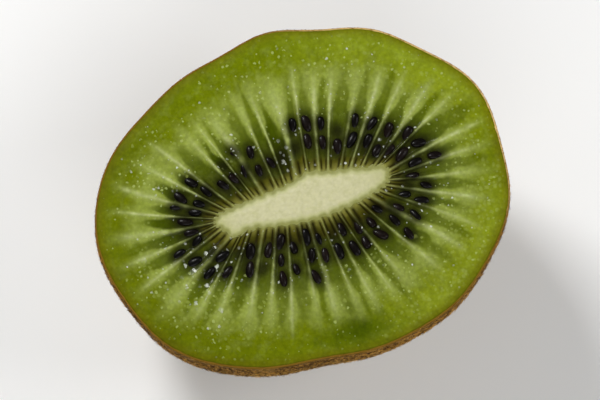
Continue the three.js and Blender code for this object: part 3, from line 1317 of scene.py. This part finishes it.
@dataclass(frozen=True)
class SkinFinish(Finish):
    """Thin brown skin: mottled tan and olive brown, golden where it is cut with painted light to the
    north-east, woody at the scar.
    """

    name: ClassVar[str] = "fuzzy_brown_skin"

    brown: Paint = paint(132, 103, 34)
    tan: Paint = paint(188, 152, 80)
    dark: Paint = paint(66, 48, 12)
    cut: Paint = paint(126, 94, 28)
    # painted light: the pale tan of the cut edge where it is lit on the north-east
    painted_rim_light: Paint = paint(222, 188, 122)
    high: Paint = paint(226, 210, 180)
    scar: Paint = paint(98, 74, 44)
    button: Paint = paint(158, 138, 100)
    wood: Paint = paint(58, 40, 22)
    clouds: Grain = Grain(6.0, 4.0, 0.6)
    blots: Grain = Grain(1.2, 4.0, 0.65, 0.6, 4.0)
    grain: Grain = Grain(0.5, 5.0, 0.7, seed=7.0)

    def dress(self, bench: Bench) -> None:
        """Mottles the skin, darkens the scar's wood, paints light on the cut edge towards the north-east
        and dulls it all.

        Args:
            bench: the material's nodes.
        """
        blots = bench.noise(self.blots)
        fine = bench.noise(self.grain)
        base = bench.strip(bench.noise(self.clouds), {0.3: self.dark, 0.5: self.brown, 0.7: self.tan})
        base = bench.blend(bench.span(blots, 0.45, 0.7, 0.0, 0.4), base, self.dark)
        base = bench.blend(bench.span(fine, 0.3, 0.48, 0.85, 0.0), base, self.dark)
        base = bench.blend(bench.span(fine, 0.5, 0.66, 0.0, 0.7), base, self.tan)
        base = bench.blend(bench.mark("scar"), base, self.scar)
        base = bench.blend(bench.mark("button"), base, self.button)
        wood = bench.times(bench.mark("wood"), bench.span(fine, 0.3, 0.6, 0.9, 0.3))
        base = bench.blend(wood, base, self.wood)
        base = bench.tinted(base, self.high, bench.high(*HIGH_SKIN))
        # Painted light: the cut edge is painted pale tan towards the north-east, as if lit through the
        # fuzz.
        painted_rim_light = bench.times(bench.mark("painted_rim_light"), bench.span(fine, 0.3, 0.6))
        base = bench.blend(bench.mark("cut"), base, bench.blend(painted_rim_light, self.cut, self.painted_rim_light))
        bench.shade(
            Base_Color=base,
            Roughness=bench.span(blots, 0.3, 0.7, 0.62, 0.86),
            Normal=bench.bump(fine, 0.6, 0.08, bench.bump(blots, 0.6, 0.15)),
            Specular_IOR_Level=0.06,
        )


@dataclass(frozen=True)
class FuzzFinish(Finish):
    """Short stiff golden brown hairs, darker at the root."""

    name: ClassVar[str] = "golden_fuzz"

    root: Paint = paint(92, 62, 12)
    tip: Paint = paint(240, 194, 106)
    high: Paint = paint(226, 210, 180)
    clouds: Grain = Grain(6.0)
    tufts: Grain = Grain(0.7, 2.0, 0.6, seed=19.0)
    gloss: Grain = Grain(1.0, seed=5.0)

    def dress(self, bench: Bench) -> None:
        """Grades the hairs from root to tip, lighter and darker by the tuft.

        Args:
            bench: the material's nodes.
        """
        tone = bench.plus(bench.mark("tone"), bench.span(bench.noise(self.clouds), 0.3, 0.7, -0.15, 0.15))
        tone = bench.plus(tone, bench.span(bench.noise(self.tufts), 0.38, 0.62, -0.75, 0.6))
        base = bench.strip(tone, {0.0: self.root, 1.0: self.tip})
        bench.shade(
            Base_Color=bench.tinted(base, self.high, bench.high(*HIGH_SKIN)),
            Roughness=bench.span(bench.noise(self.gloss), 0.3, 0.7, 0.5, 0.7),
            Specular_IOR_Level=0.15,
        )


@dataclass(frozen=True)
class SeedFinish(Finish):
    """Glossy black seeds with a faint brown tint, finely pitted."""

    name: ClassVar[str] = "black_seeds"

    black: Paint = paint(4, 3, 2)
    brown: Paint = paint(24, 15, 12)
    grain: Grain = Grain(0.25, 3.0, 0.6)

    def dress(self, bench: Bench) -> None:
        """Tints each seed by its own tone and gives it a wet coat.

        Args:
            bench: the material's nodes.
        """
        fine = bench.noise(self.grain)
        tone = bench.times(bench.mark("tone"), bench.span(fine, 0.3, 0.7, 0.4, 1.0))
        bench.shade(
            Base_Color=bench.strip(tone, {0.0: self.black, 1.0: self.brown}),
            Roughness=bench.span(fine, 0.3, 0.7, 0.34, 0.52),
            Normal=bench.bump(fine, 0.3, 0.02),
            Specular_IOR_Level=0.08,
            Coat_Weight=0.16,
            Coat_Roughness=0.09,
            Coat_IOR=1.36,
        )


@dataclass(frozen=True)
class FloorFinish(Finish):
    """A plain pale floor with hardly a trace of unevenness."""

    name: ClassVar[str] = "pale_floor"

    pale: Paint = paint(252, 252, 251)
    shade: Paint = paint(249, 249, 248)
    clouds: Grain = Grain(60.0)

    def dress(self, bench: Bench) -> None:
        """Paints the floor, dull and all but even."""
        base = bench.blend(bench.span(bench.noise(self.clouds), 0.3, 0.7), self.pale, self.shade)
        bench.shade(Base_Color=base, Roughness=0.7, Specular_IOR_Level=0.2)


@dataclass
class Piece(ABC):
    """One mesh of the fruit, with its name, its slot, the solid that it stands for and its finish."""

    name: ClassVar[str]
    slot: ClassVar[Slot]
    node: ClassVar[Node] = Node.FRUIT
    finish: ClassVar[Finish]

    form: FruitForm

    @abstractmethod
    def build(self) -> bpy.types.Object:
        """Makes the mesh."""

    def dress(self, made: bpy.types.Object) -> None:
        """Gives the mesh its finish."""
        made.data.materials.append(self.finish.material())

    def install(self) -> bpy.types.Object:
        """Builds and dresses the piece, and puts it in its solid's place.

        Returns:
            The finished object.
        """
        made = self.build()
        self.dress(made)
        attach(made, BODY)
        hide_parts(self.node.value)
        triangles = sum(len(face.vertices) - 2 for face in made.data.polygons)
        LOG.info("%s: %d triangles, stands for %s", self.name, triangles, self.node.value)
        return made


@dataclass
class Flesh(Piece):
    """The green flesh: the cut face in relief, the pocket for the core and the bowl inside the skin."""

    name: ClassVar[str] = "green_flesh"
    slot: ClassVar[Slot] = Slot.FLESH
    finish: ClassVar[Finish] = FleshFinish()

    columns: int = 800
    face_rows: int = 98
    bowl_rows: int = 8
    pocket_rows: int = 7
    crowding: float = 1.15  # more than 1 sets the face's rows closer together by the core
    inset: float = 0.22
    floor: float = 0.6  # how far the flesh ends above the scar

    def build(self) -> bpy.types.Object:
        """Makes the closed surface: up the bowl to the rim, in over the face and down the pocket.

        Returns:
            The mesh.
        """
        turn = np.arange(self.columns) / self.columns
        rim_turn = self.form.skin(turn, 0.0)[..., :2]
        length = np.linalg.norm(rim_turn - self.form.core_edge(turn, -CutPattern.tuck, 1.0), axis=-1)
        outermost = 1 - self.inset / length
        share = np.linspace(1, 0, self.face_rows)[:, None] ** self.crowding
        grid = np.broadcast_to(turn, (self.face_rows, self.columns))
        pattern = CutPattern(self.form, grid, share * outermost)
        bowl = [
            self.form.skin(turn, math.pi / 2 * (1 - row / self.bowl_rows), self.inset + 0.6)
            for row in range(1, self.bowl_rows)
        ]
        bowl.append(self.form.skin(turn, 0.05, self.inset))
        bottom = self.form.scar_depth + self.floor
        bowl = [ring * (1, 1, 0) + np.maximum(ring, bottom) * (0, 0, 1) for ring in bowl]
        pocket = [
            self.form.core_wall(turn, math.pi / 2 * row / (self.pocket_rows + 1), -pattern.tuck)
            for row in range(1, self.pocket_rows + 1)
        ]
        rings = np.stack([*bowl, *pattern.points(), *pocket])
        middle = np.append(np.array(self.form.core_shift) + self.form.place[:2], self.form.face_height)
        shell = RingShell(
            first=self.form.place + (0, 0, bottom),
            rings=rings,
            last=middle - (0, 0, self.form.core_depth),
            marks={
                mark: np.concatenate(
                    [
                        np.repeat(values[:1], len(bowl), axis=0),
                        values,
                        np.repeat(values[-1:], len(pocket), axis=0),
                    ]
                )
                for mark, values in pattern.marks().items()
            },
        )
        return shell.mesh(self.name)


@dataclass
class Core(Piece):
    """The pale spindle that runs down through the flesh, with a low crown and a fingered edge."""

    name: ClassVar[str] = "pale_core"
    slot: ClassVar[Slot] = Slot.CORE
    node: ClassVar[Node] = Node.CORE
    finish: ClassVar[Finish] = CoreFinish()

    columns: int = 480
    wall_rows: int = 14
    crown_rows: int = 34
    clearance: float = 0.35
    flange: tuple[float, ...] = (0.14, 0.09, 0.04, 0.0)
    edge_height: float = -0.06
    finger_height: float = 0.012
    finger_unevenness: float = 0.3
    swell_height: float = 0.012
    grit_height: float = 0.005
    finger_waves: Waves = Waves(23, 0.05)
    swell: Waves = Waves(29, 1.4)
    grit: Waves = Waves(31, 0.5, 30)
    easing: float = 0.25  # how broadly the crown is rounded off along its middle

    def crown(self, turn: np.ndarray) -> tuple[np.ndarray, np.ndarray]:
        """The core's top, from the thin flange that lies on the flesh in to the middle.

        Args:
            turn: the turn shares of one ring.

        Returns:
            The rings' points, and how far each is inside the core's edge.
        """
        flange = [self.form.core_edge(turn, grow, 1.0) for grow in self.flange]
        shrink = 1 - (np.arange(1, self.crown_rows) / self.crown_rows) ** 1.5
        bulge = self.form.core_bulge(turn)
        inner = [
            self.form.core_edge(turn, (share**3 - share) * bulge, np.full_like(turn, share))
            for share in shrink
        ]
        flat = np.stack([*flange, *inner])
        border = self.form.core_edge(np.arange(720) / 720, 0.0, 1.0)
        step = np.linalg.norm(np.roll(border, -1, axis=0) - border, axis=-1)
        away = np.linalg.norm(flat[:, :, None] - border, axis=-1)
        inside = away.min(axis=-1)
        beside = (step * np.exp((inside[..., None] - away) / self.easing)).sum(axis=-1)
        eased = inside - self.easing * np.log(beside / np.sqrt(TURN * self.easing * (inside + self.easing)))
        inside[: len(flange)] *= -1
        eased[: len(flange)] = inside[: len(flange)]
        wheel = np.stack([np.cos(TURN * turn), np.sin(TURN * turn)], axis=-1)
        fingers = np.cos(self.form.chambers / 2 * TURN * turn) ** 2 - 0.4
        fingers += self.finger_unevenness * self.finger_waves.at(wheel)
        height = self.edge_height + (self.form.core_crown - self.edge_height) * ramp(-0.3, 1.4, eased)
        height += self.finger_height * fingers * (1 - ramp(0.0, 0.9, inside))
        uneven = self.swell_height * self.swell.at(flat) + self.grit_height * self.grit.at(flat)
        height += uneven * ramp(0, 0.8, inside)
        height += self.form.face_height
        return np.concatenate([flat, height[..., None]], axis=-1), inside

    def build(self) -> bpy.types.Object:
        """Makes the closed surface, from the spindle's tip up its side and in over the crown.

        Returns:
            The mesh.
        """
        turn = np.arange(self.columns) / self.columns
        walls = [
            self.form.core_wall(turn, math.pi / 2 * (1 - row / self.wall_rows), -self.clearance)
            for row in range(1, self.wall_rows)
        ]
        walls.append(self.form.core_wall(turn, 0.02, -self.clearance))
        crown, inside = self.crown(turn)
        rings = np.concatenate([np.stack(walls), crown])
        inside = np.concatenate([np.zeros((len(walls), self.columns)), inside])
        tip = np.append(np.array(self.form.core_shift) + self.form.place[:2], 0)
        shell = RingShell(
            first=tip + (0, 0, self.form.face_height - self.form.core_depth + self.clearance),
            rings=rings,
            last=tip + (0, 0, self.form.face_height + self.form.core_crown),
            marks={
                "edge": 1 - ramp(0.0, 2.4, inside),
                "end": ramp(7.0, 11.5, np.abs(rings[..., 0] - tip[0])),
            },
        )
        return shell.mesh(self.name)


@dataclass
class Skin(Piece):
    """The thin skin: its rough outside down to the flat callus ring and the stem scar, and its cut rim."""

    name: ClassVar[str] = "brown_skin"
    slot: ClassVar[Slot] = Slot.SKIN
    finish: ClassVar[Finish] = SkinFinish()

    columns: int = 420
    rows: int = 96
    inner_rows: int = 8
    thickness: float = 0.28
    roughness: float = 0.035
    foot_rows: int = 28
    foot_step: float = 0.15  # the radius of the first ring of the foot
    foot_band: float = 0.5  # how broad the flat inner band of the callus ring is
    button_dent: float = 0.15  # how much deeper the middle of the stem button lies
    wood_ring: float = 0.62  # the distance between two rings of the scar's wood
    wood_height: float = 0.05  # how high its rings stand, and its grain
    scar_raggedness: float = 0.13
    rim_raggedness: float = 0.03
    rim_drops: tuple[float, float, float] = (0.08, 0.02, 0.06)  # outside, on top and inside
    wood_grain: Waves = Waves(61, 1.1, 30)
    scar_edge: Waves = Waves(67, 1.6, 30)
    rim_edge: Waves = Waves(37, 2.0)
    lumps: Waves = Waves(41, 2.6, 30)
    fine_lumps: Waves = Waves(43, 1.1, 40)

    def foot(self, turn: np.ndarray) -> list[np.ndarray]:
        """The rings from the woody stem button out through the scar's hollow to the flat callus ring.

        Args:
            turn: the turn shares of one ring.

        Returns:
            The points of each ring.
        """
        form = self.form
        profile = {
            0.0: form.button_depth + self.button_dent,
            form.button_radius * 0.5: form.button_depth + 0.02,
            form.button_radius * 0.92: form.button_depth + 0.1,
            form.button_radius + 0.05: form.scar_depth * 0.9,
            form.scar_radius: form.scar_depth,
            form.foot_inner_radius - 0.25: 0.12,
            form.foot_inner_radius: 0.0,
            form.foot_inner_radius + self.foot_band: 0.0,
        }
        rings = []
        for radius in np.linspace(self.foot_step, form.foot_inner_radius + self.foot_band, self.foot_rows):
            ring = form.ring(turn, radius, np.interp(radius, list(profile), list(profile.values())))
            inner = 1 - ramp(form.scar_radius, form.foot_inner_radius, radius)
            flat = ring[:, :2]
            wood = self.wood_height * math.sin(TURN * radius / self.wood_ring)
            wood += self.wood_height * self.wood_grain.at(flat)
            ring[:, 2] += inner * ramp(0.0, 0.6, radius) * wood
            ragged = inner * ramp(1.2, 2.2, radius) * self.scar_raggedness * self.scar_edge.at(flat)
            ring[:, :2] += (flat - form.place[:2]) / radius * ragged[:, None]
            rings.append(ring)
        return rings

    def build(self) -> bpy.types.Object:
        """Makes the closed surface, from the stem button out and up to the rim, and down the inside.

        Returns:
            The mesh.
        """
        form = self.form
        turn = np.arange(self.columns) / self.columns
        foot = self.foot(turn)
        dips = form.foot_dip() * (1 - np.linspace(0, 1, self.rows) ** 0.92)
        outside = np.stack([form.skin(turn, dip) for dip in dips])
        outside = outside + self.bumps(outside, dips)
        outside[0, :, 2] = 0
        outside[..., 2] = np.maximum(outside[..., 2], 0)
        ragged = self.rim_raggedness * self.rim_edge.at(outside[-1])
        outer, top, inner = (form.face_height - form.rim_drop - drop for drop in self.rim_drops)
        outside[-1, :, 2] = outer + ragged
        share = 1 - self.thickness / (form.face_width / 2)
        rim = np.stack([outside[-1] * (1 - (1 - share) * part) for part in (0.25, 0.75)])
        rim[..., 2] = top + ragged
        inner_dips = math.pi / 2 * np.arange(self.inner_rows) / self.inner_rows
        inside = np.stack([form.skin(turn, dip, self.thickness) for dip in inner_dips])
        inside[0, :, 2] = inner
        floor = form.scar_depth + self.thickness
        inside[..., 2] = np.maximum(inside[..., 2], floor)
        rings = np.concatenate([np.stack(foot), outside, rim, inside])
        shell = RingShell(
            first=form.place + (0, 0, form.button_depth + self.button_dent),
            rings=rings,
            last=form.place + (0, 0, floor),
            marks=self.marks(rings, len(foot) + len(outside)),
        )
        return shell.mesh(self.name)

    def bumps(self, outside: np.ndarray, dips: np.ndarray) -> np.ndarray:
        """The skin's fine lumps, as moves of its points away from the fruit's middle.

        Args:
            outside: the rings of the skin's outside.
            dips: how far down each ring lies.

        Returns:
            One move for each point.
        """
        middle = np.array([*self.form.place[:2], self.form.face_height])
        away = outside - middle
        away /= np.linalg.norm(away, axis=-1, keepdims=True)
        height = self.roughness * (self.lumps.at(outside) + 0.6 * self.fine_lumps.at(outside))
        calm = ramp(0.0, 0.06, dips) * ramp(0.0, 0.1, self.form.foot_dip() - dips)
        return away * (height * calm[:, None])[..., None]

    def marks(self, rings: np.ndarray, outer_rows: int) -> Marks:
        """The numbers that the skin's finish reads, by name.

        Args:
            rings: all the skin's rings.
            outer_rows: how many of them lie outside the cut.

        Returns:
            One row of numbers for each name.
        """
        radius = np.linalg.norm(rings[..., :2] - self.form.place[:2], axis=-1)
        low = 1 - ramp(0.5, 2.5, rings[..., 2])
        cut = np.zeros(rings.shape[:2])
        cut[outer_rows - 1] = 0.6
        cut[outer_rows:] = 1
        wood = 0.5 + 0.5 * np.cos(TURN * radius / self.wood_ring)
        return {
            "cut": cut,
            # painted light on the cut edge, growing towards the north-east
            "painted_rim_light": ramp(11, 22, rings[..., :2] @ (0.8, 0.6)),
            "scar": low * (1 - ramp(5.5, 9.5, radius)) * 0.85,
            "button": low * (1 - ramp(0.3, self.form.button_radius, radius)),
            "wood": low * wood * (1 - ramp(3.0, 4.5, radius)),
        }


@dataclass
class Fuzz(Piece):
    """The short stiff hairs that cover the skin, each a thin closed spike."""

    name: ClassVar[str] = "skin_fuzz"
    slot: ClassVar[Slot] = Slot.SKIN
    finish: ClassVar[Finish] = FuzzFinish()

    hairs: int = 48000
    shortest: float = 0.35
    longest: float = 1.1
    root_radius: float = 0.042
    bare: float = 0.0  # dips by which the hairs begin, and have their full length
    full: float = 0.05
    stubble: float = 0.3  # how long they are where they begin, as a share of that
    lowest_tip: float = 0.03
    rim_clearance: float = 0.1  # how far the tips stay below the skin's rim
    rooting: float = 0.04  # how far the hairs run into the skin
    lifts: tuple[float, float] = (0.06, 0.34)  # how far they rise over their length
    patch_turn: float = 1.3  # how far the hairs of a patch turn aside together, in radians
    hair_turn: float = 0.75  # and each hair on its own
    tufts: Waves = Waves(53, 1.1, 30)
    swirls: Waves = Waves(47, 7.0)
    tufting: float = 0.35  # how unevenly the roots are strewn
    tries: int = 4  # how many places are drawn for each root
    nudge: float = 1e-4  # the step by which the skin's slope is measured
    seed: int = 1897

    def build(self) -> bpy.types.Object:
        """Scatters the roots evenly over the skin, and grows a bent down spike on each.

        Returns:
            The mesh of all the hairs.
        """
        draw = np.random.default_rng(self.seed)
        places = self.hairs * self.tries
        turn = draw.uniform(0, 1, places)
        dip = draw.uniform(0.0, self.form.foot_dip(), places)
        here = self.form.skin(turn, dip)
        round_it = (self.form.skin(turn + self.nudge, dip) - here) / self.nudge
        down_it = (self.form.skin(turn, dip + self.nudge) - here) / self.nudge
        normal = np.cross(down_it, round_it)
        area = np.linalg.norm(normal, axis=-1)
        normal /= area[:, None]
        share = area * np.clip(1 + self.tufting * self.tufts.at(here), 0.1, None)
        kept = draw.choice(places, self.hairs, replace=False, p=share / share.sum())
        here, normal = here[kept], normal[kept]
        down = down_it[kept] / np.linalg.norm(down_it[kept], axis=-1, keepdims=True)
        aside = np.cross(normal, down)
        swirl = self.patch_turn * self.swirls.at(here) + draw.normal(0, self.hair_turn, self.hairs)
        lay = down * np.cos(swirl)[:, None] + aside * np.sin(swirl)[:, None]
        lift = draw.uniform(*self.lifts, self.hairs)[:, None]
        along = normal * lift + lay * np.sqrt(1 - lift**2)
        length = draw.uniform(self.shortest, self.longest, self.hairs)[:, None]
        length *= self.stubble + (1 - self.stubble) * ramp(self.bare, self.full, dip[kept])[:, None]
        tip = here + along * length
        root = here - normal * self.rooting
        standing = (tip[:, 2] > self.lowest_tip) & (root[:, 2] > self.lowest_tip)
        standing &= tip[:, 2] < self.form.face_height - self.form.rim_drop - self.rim_clearance
        root, tip, along, normal = (rows[standing] for rows in (root, tip, along, normal))
        tone = draw.uniform(0, 1, self.hairs)[standing]
        side = np.cross(along, normal)
        side /= np.linalg.norm(side, axis=-1, keepdims=True)
        over = np.cross(side, along)
        corners = [
            root + self.root_radius * (side * math.cos(angle) + over * math.sin(angle))
            for angle in (math.pi / 2, math.pi / 2 + TURN / 3, math.pi / 2 + 2 * TURN / 3)
        ]
        points = np.stack([*corners, tip], axis=1).reshape(-1, 3)
        start = 4 * np.arange(len(root))[:, None]
        shape = np.array([[0, 1, 3], [1, 2, 3], [2, 0, 3], [2, 1, 0]])
        faces = (start[..., None] + shape).reshape(-1, 3)
        shade = np.stack([tone * 0.5] * 3 + [0.45 + tone * 0.55], axis=1).reshape(-1)
        return make_object(self.name, points, faces.tolist(), {"tone": shade})


@dataclass
class Down(Fuzz):
    """The finer and shorter down between the hairs."""

    name: ClassVar[str] = "skin_down"

    hairs: int = 46000
    shortest: float = 0.2
    longest: float = 0.55
    root_radius: float = 0.03
    tufting: float = 0.2
    seed: int = 2203


@dataclass
class Seeds(Piece):
    """The seeds: flat drops that lie in the chambers with their points towards the core."""

    name: ClassVar[str] = "black_seeds"
    slot: ClassVar[Slot] = Slot.SEED
    finish: ClassVar[Finish] = SeedFinish()

    rows: int = 11
    columns: int = 16
    pointed: float = 0.3
    lean: float = 0.22  # how far the points dip and rise, in radians
    roll: float = 1.6  # how much farther they roll on their sides than that
    seed: int = 611

    def drop(self) -> tuple[np.ndarray, Corners]:
        """One seed of length, width and thickness 1.

        Returns:
            Its vertices and its faces.
        """
        along = np.arange(1, self.rows) / self.rows
        around = TURN * np.arange(self.columns) / self.columns
        girth = np.sin(math.pi * along) ** 0.74 * (1 - self.pointed * (1 - along))
        rings = np.stack(
            [
                np.broadcast_to(-np.cos(math.pi * along)[:, None], (self.rows - 1, self.columns)),
                girth[:, None] * np.cos(around),
                girth[:, None] * np.sin(around),
            ],
            axis=-1,
        )
        shell = RingShell(np.array([-1.0, 0, 0]), rings, np.array([1.0, 0, 0]))
        return shell.points() / 2, shell.faces()

    def build(self) -> bpy.types.Object:
        """Lays a drop at each place and joins them.

        Returns:
            The mesh of all the seeds that show.
        """
        draw = np.random.default_rng(self.seed)
        form = self.form
        whole = np.array([form.seed_length, form.seed_width, form.seed_thickness])
        drop, drop_faces = self.drop()
        points, faces, tones = [], [], []
        for place in self.form.seed_places():
            pitch, roll = draw.normal(0, self.lean), draw.normal(0, self.lean * self.roll)
            tone = draw.uniform(0, 1)
            if not place.shown:
                continue
            at = form.face(np.array(place.turn), np.array(place.way), form.core_gap)
            at = at + (0, 0, (form.seed_proud - 0.5) * form.seed_thickness)
            turned = (drop * (whole * place.size)) @ self.turned(place.heading, pitch, roll).T + at
            start = len(points) * len(drop)
            faces += [tuple(start + corner for corner in face) for face in drop_faces]
            points.append(turned)
            tones.append(np.full(len(drop), tone))
        return make_object(self.name, np.concatenate(points), faces, {"tone": np.concatenate(tones)})

    @staticmethod
    def turned(heading: float, pitch: float, roll: float) -> np.ndarray:
        """The rotation that rolls a seed, pitches it and turns it to its heading.

        Args:
            heading: the turn on the face.
            pitch: how far its point dips.
            roll: how far it leans on its side.

        Returns:
            The matrix of the three turns.
        """
        ch, sh, cp, sp, cr, sr = (
            call(angle) for angle in (heading, pitch, roll) for call in (math.cos, math.sin)
        )
        turn = np.array([[ch, -sh, 0], [sh, ch, 0], [0, 0, 1]])
        nod = np.array([[cp, 0, sp], [0, 1, 0], [-sp, 0, cp]])
        tip = np.array([[1, 0, 0], [0, cr, -sr], [0, sr, cr]])
        return turn @ nod @ tip


@dataclass(frozen=True)
class Lamp:
    """One square area light: where it hangs, how broad it is and how bright, all seen from the cut face."""

    name: str
    azimuth: float
    elevation: float
    distance: float
    side: float
    watts: float

    def hang(self, target: Vector) -> bpy.types.Object:
        """Makes the light and aims it at the fruit.

        Args:
            target: the point that it aims at, in metres.

        Returns:
            The light.
        """
        light = bpy.data.lights.new(self.name, "AREA")
        light.energy = self.watts
        light.size = self.side
        made = bpy.data.objects.new(self.name, light)
        made.location = target + heading(self.azimuth, self.elevation) * self.distance
        made.rotation_euler = (target - made.location).to_track_quat("-Z", "Y").to_euler()
        bpy.context.scene.collection.objects.link(made)
        return made


def heading(azimuth: float, elevation: float) -> Vector:
    """Finds the direction from the fruit to something that stands round it.

    Args:
        azimuth: degrees round the fruit, with 0 in front, at -Y.
        elevation: degrees above the floor.

    Returns:
        The direction, of length 1.
    """
    turn, lift = math.radians(azimuth), math.radians(elevation)
    return Vector((math.sin(turn) * math.cos(lift), -math.cos(turn) * math.cos(lift), math.sin(lift)))


@dataclass
class Studio:
    """The camera, the lights, the surroundings and the floor."""

    form: FruitForm
    azimuth: float = -15.0
    elevation: float = 79.0
    lens: float = 400.0
    frame_width: float = 0.075
    floor_side: float = 4.0
    surroundings: float = 0.16
    lamps: tuple[Lamp, ...] = (
        Lamp("key", 200.0, 47.0, 0.42, 0.12, 1.2),
        Lamp("fill", -10.0, 36.0, 1.1, 0.9, 5.0),
        Lamp("side", 75.0, 42.0, 1.1, 0.5, 3.0),
    )

    def set_up(self) -> None:
        """Makes everything round the fruit."""
        target = Vector((0, 0, self.form.face_height * MILLIMETRE * 0.9))
        self.place_camera(target)
        for lamp in self.lamps:
            lamp.hang(target)
        self.light_room()
        self.lay_floor()

    def place_camera(self, target: Vector) -> None:
        """Aims a long lens at the cut face.

        Args:
            target: the point that it aims at, in metres.
        """
        data = bpy.data.cameras.new("camera")
        data.lens = self.lens
        data.clip_start = 0.01
        camera = bpy.data.objects.new("camera", data)
        distance = self.frame_width * self.lens / data.sensor_width
        camera.location = target + heading(self.azimuth, self.elevation) * distance
        camera.rotation_euler = (target - camera.location).to_track_quat("-Z", "Y").to_euler()
        bpy.context.scene.collection.objects.link(camera)
        bpy.context.scene.camera = camera

    def light_room(self) -> None:
        """Fills the surroundings with even pale light and keeps the colours plain."""
        world = bpy.data.worlds.new("pale_room")
        world.use_nodes = True
        background = world.node_tree.nodes["Background"]
        background.inputs["Color"].default_value = (1, 1, 1, 1)
        background.inputs["Strength"].default_value = self.surroundings
        bpy.context.scene.world = world
        bpy.context.scene.view_settings.view_transform = "Standard"

    def lay_floor(self) -> None:
        """Lays the floor that the fruit rests on."""
        half = self.floor_side / MILLIMETRE / 2
        corners = half * np.array([[-1, -1, 0], [1, -1, 0], [1, 1, 0], [-1, 1, 0]])
        floor = make_object("floor", corners, [(0, 1, 2, 3)], {})
        floor.data.materials.append(FloorFinish().material())


def main() -> None:
    """Builds the fruit piece by piece, then the studio round it."""
    logging.basicConfig(level=logging.INFO, format="%(name)s: %(message)s")
    form = FruitForm()
    form.settle()
    for piece in (Flesh(form), Core(form), Skin(form), Fuzz(form), Down(form), Seeds(form)):
        piece.install()
    Studio(form).set_up()


if __name__ == "__main__":
    main()
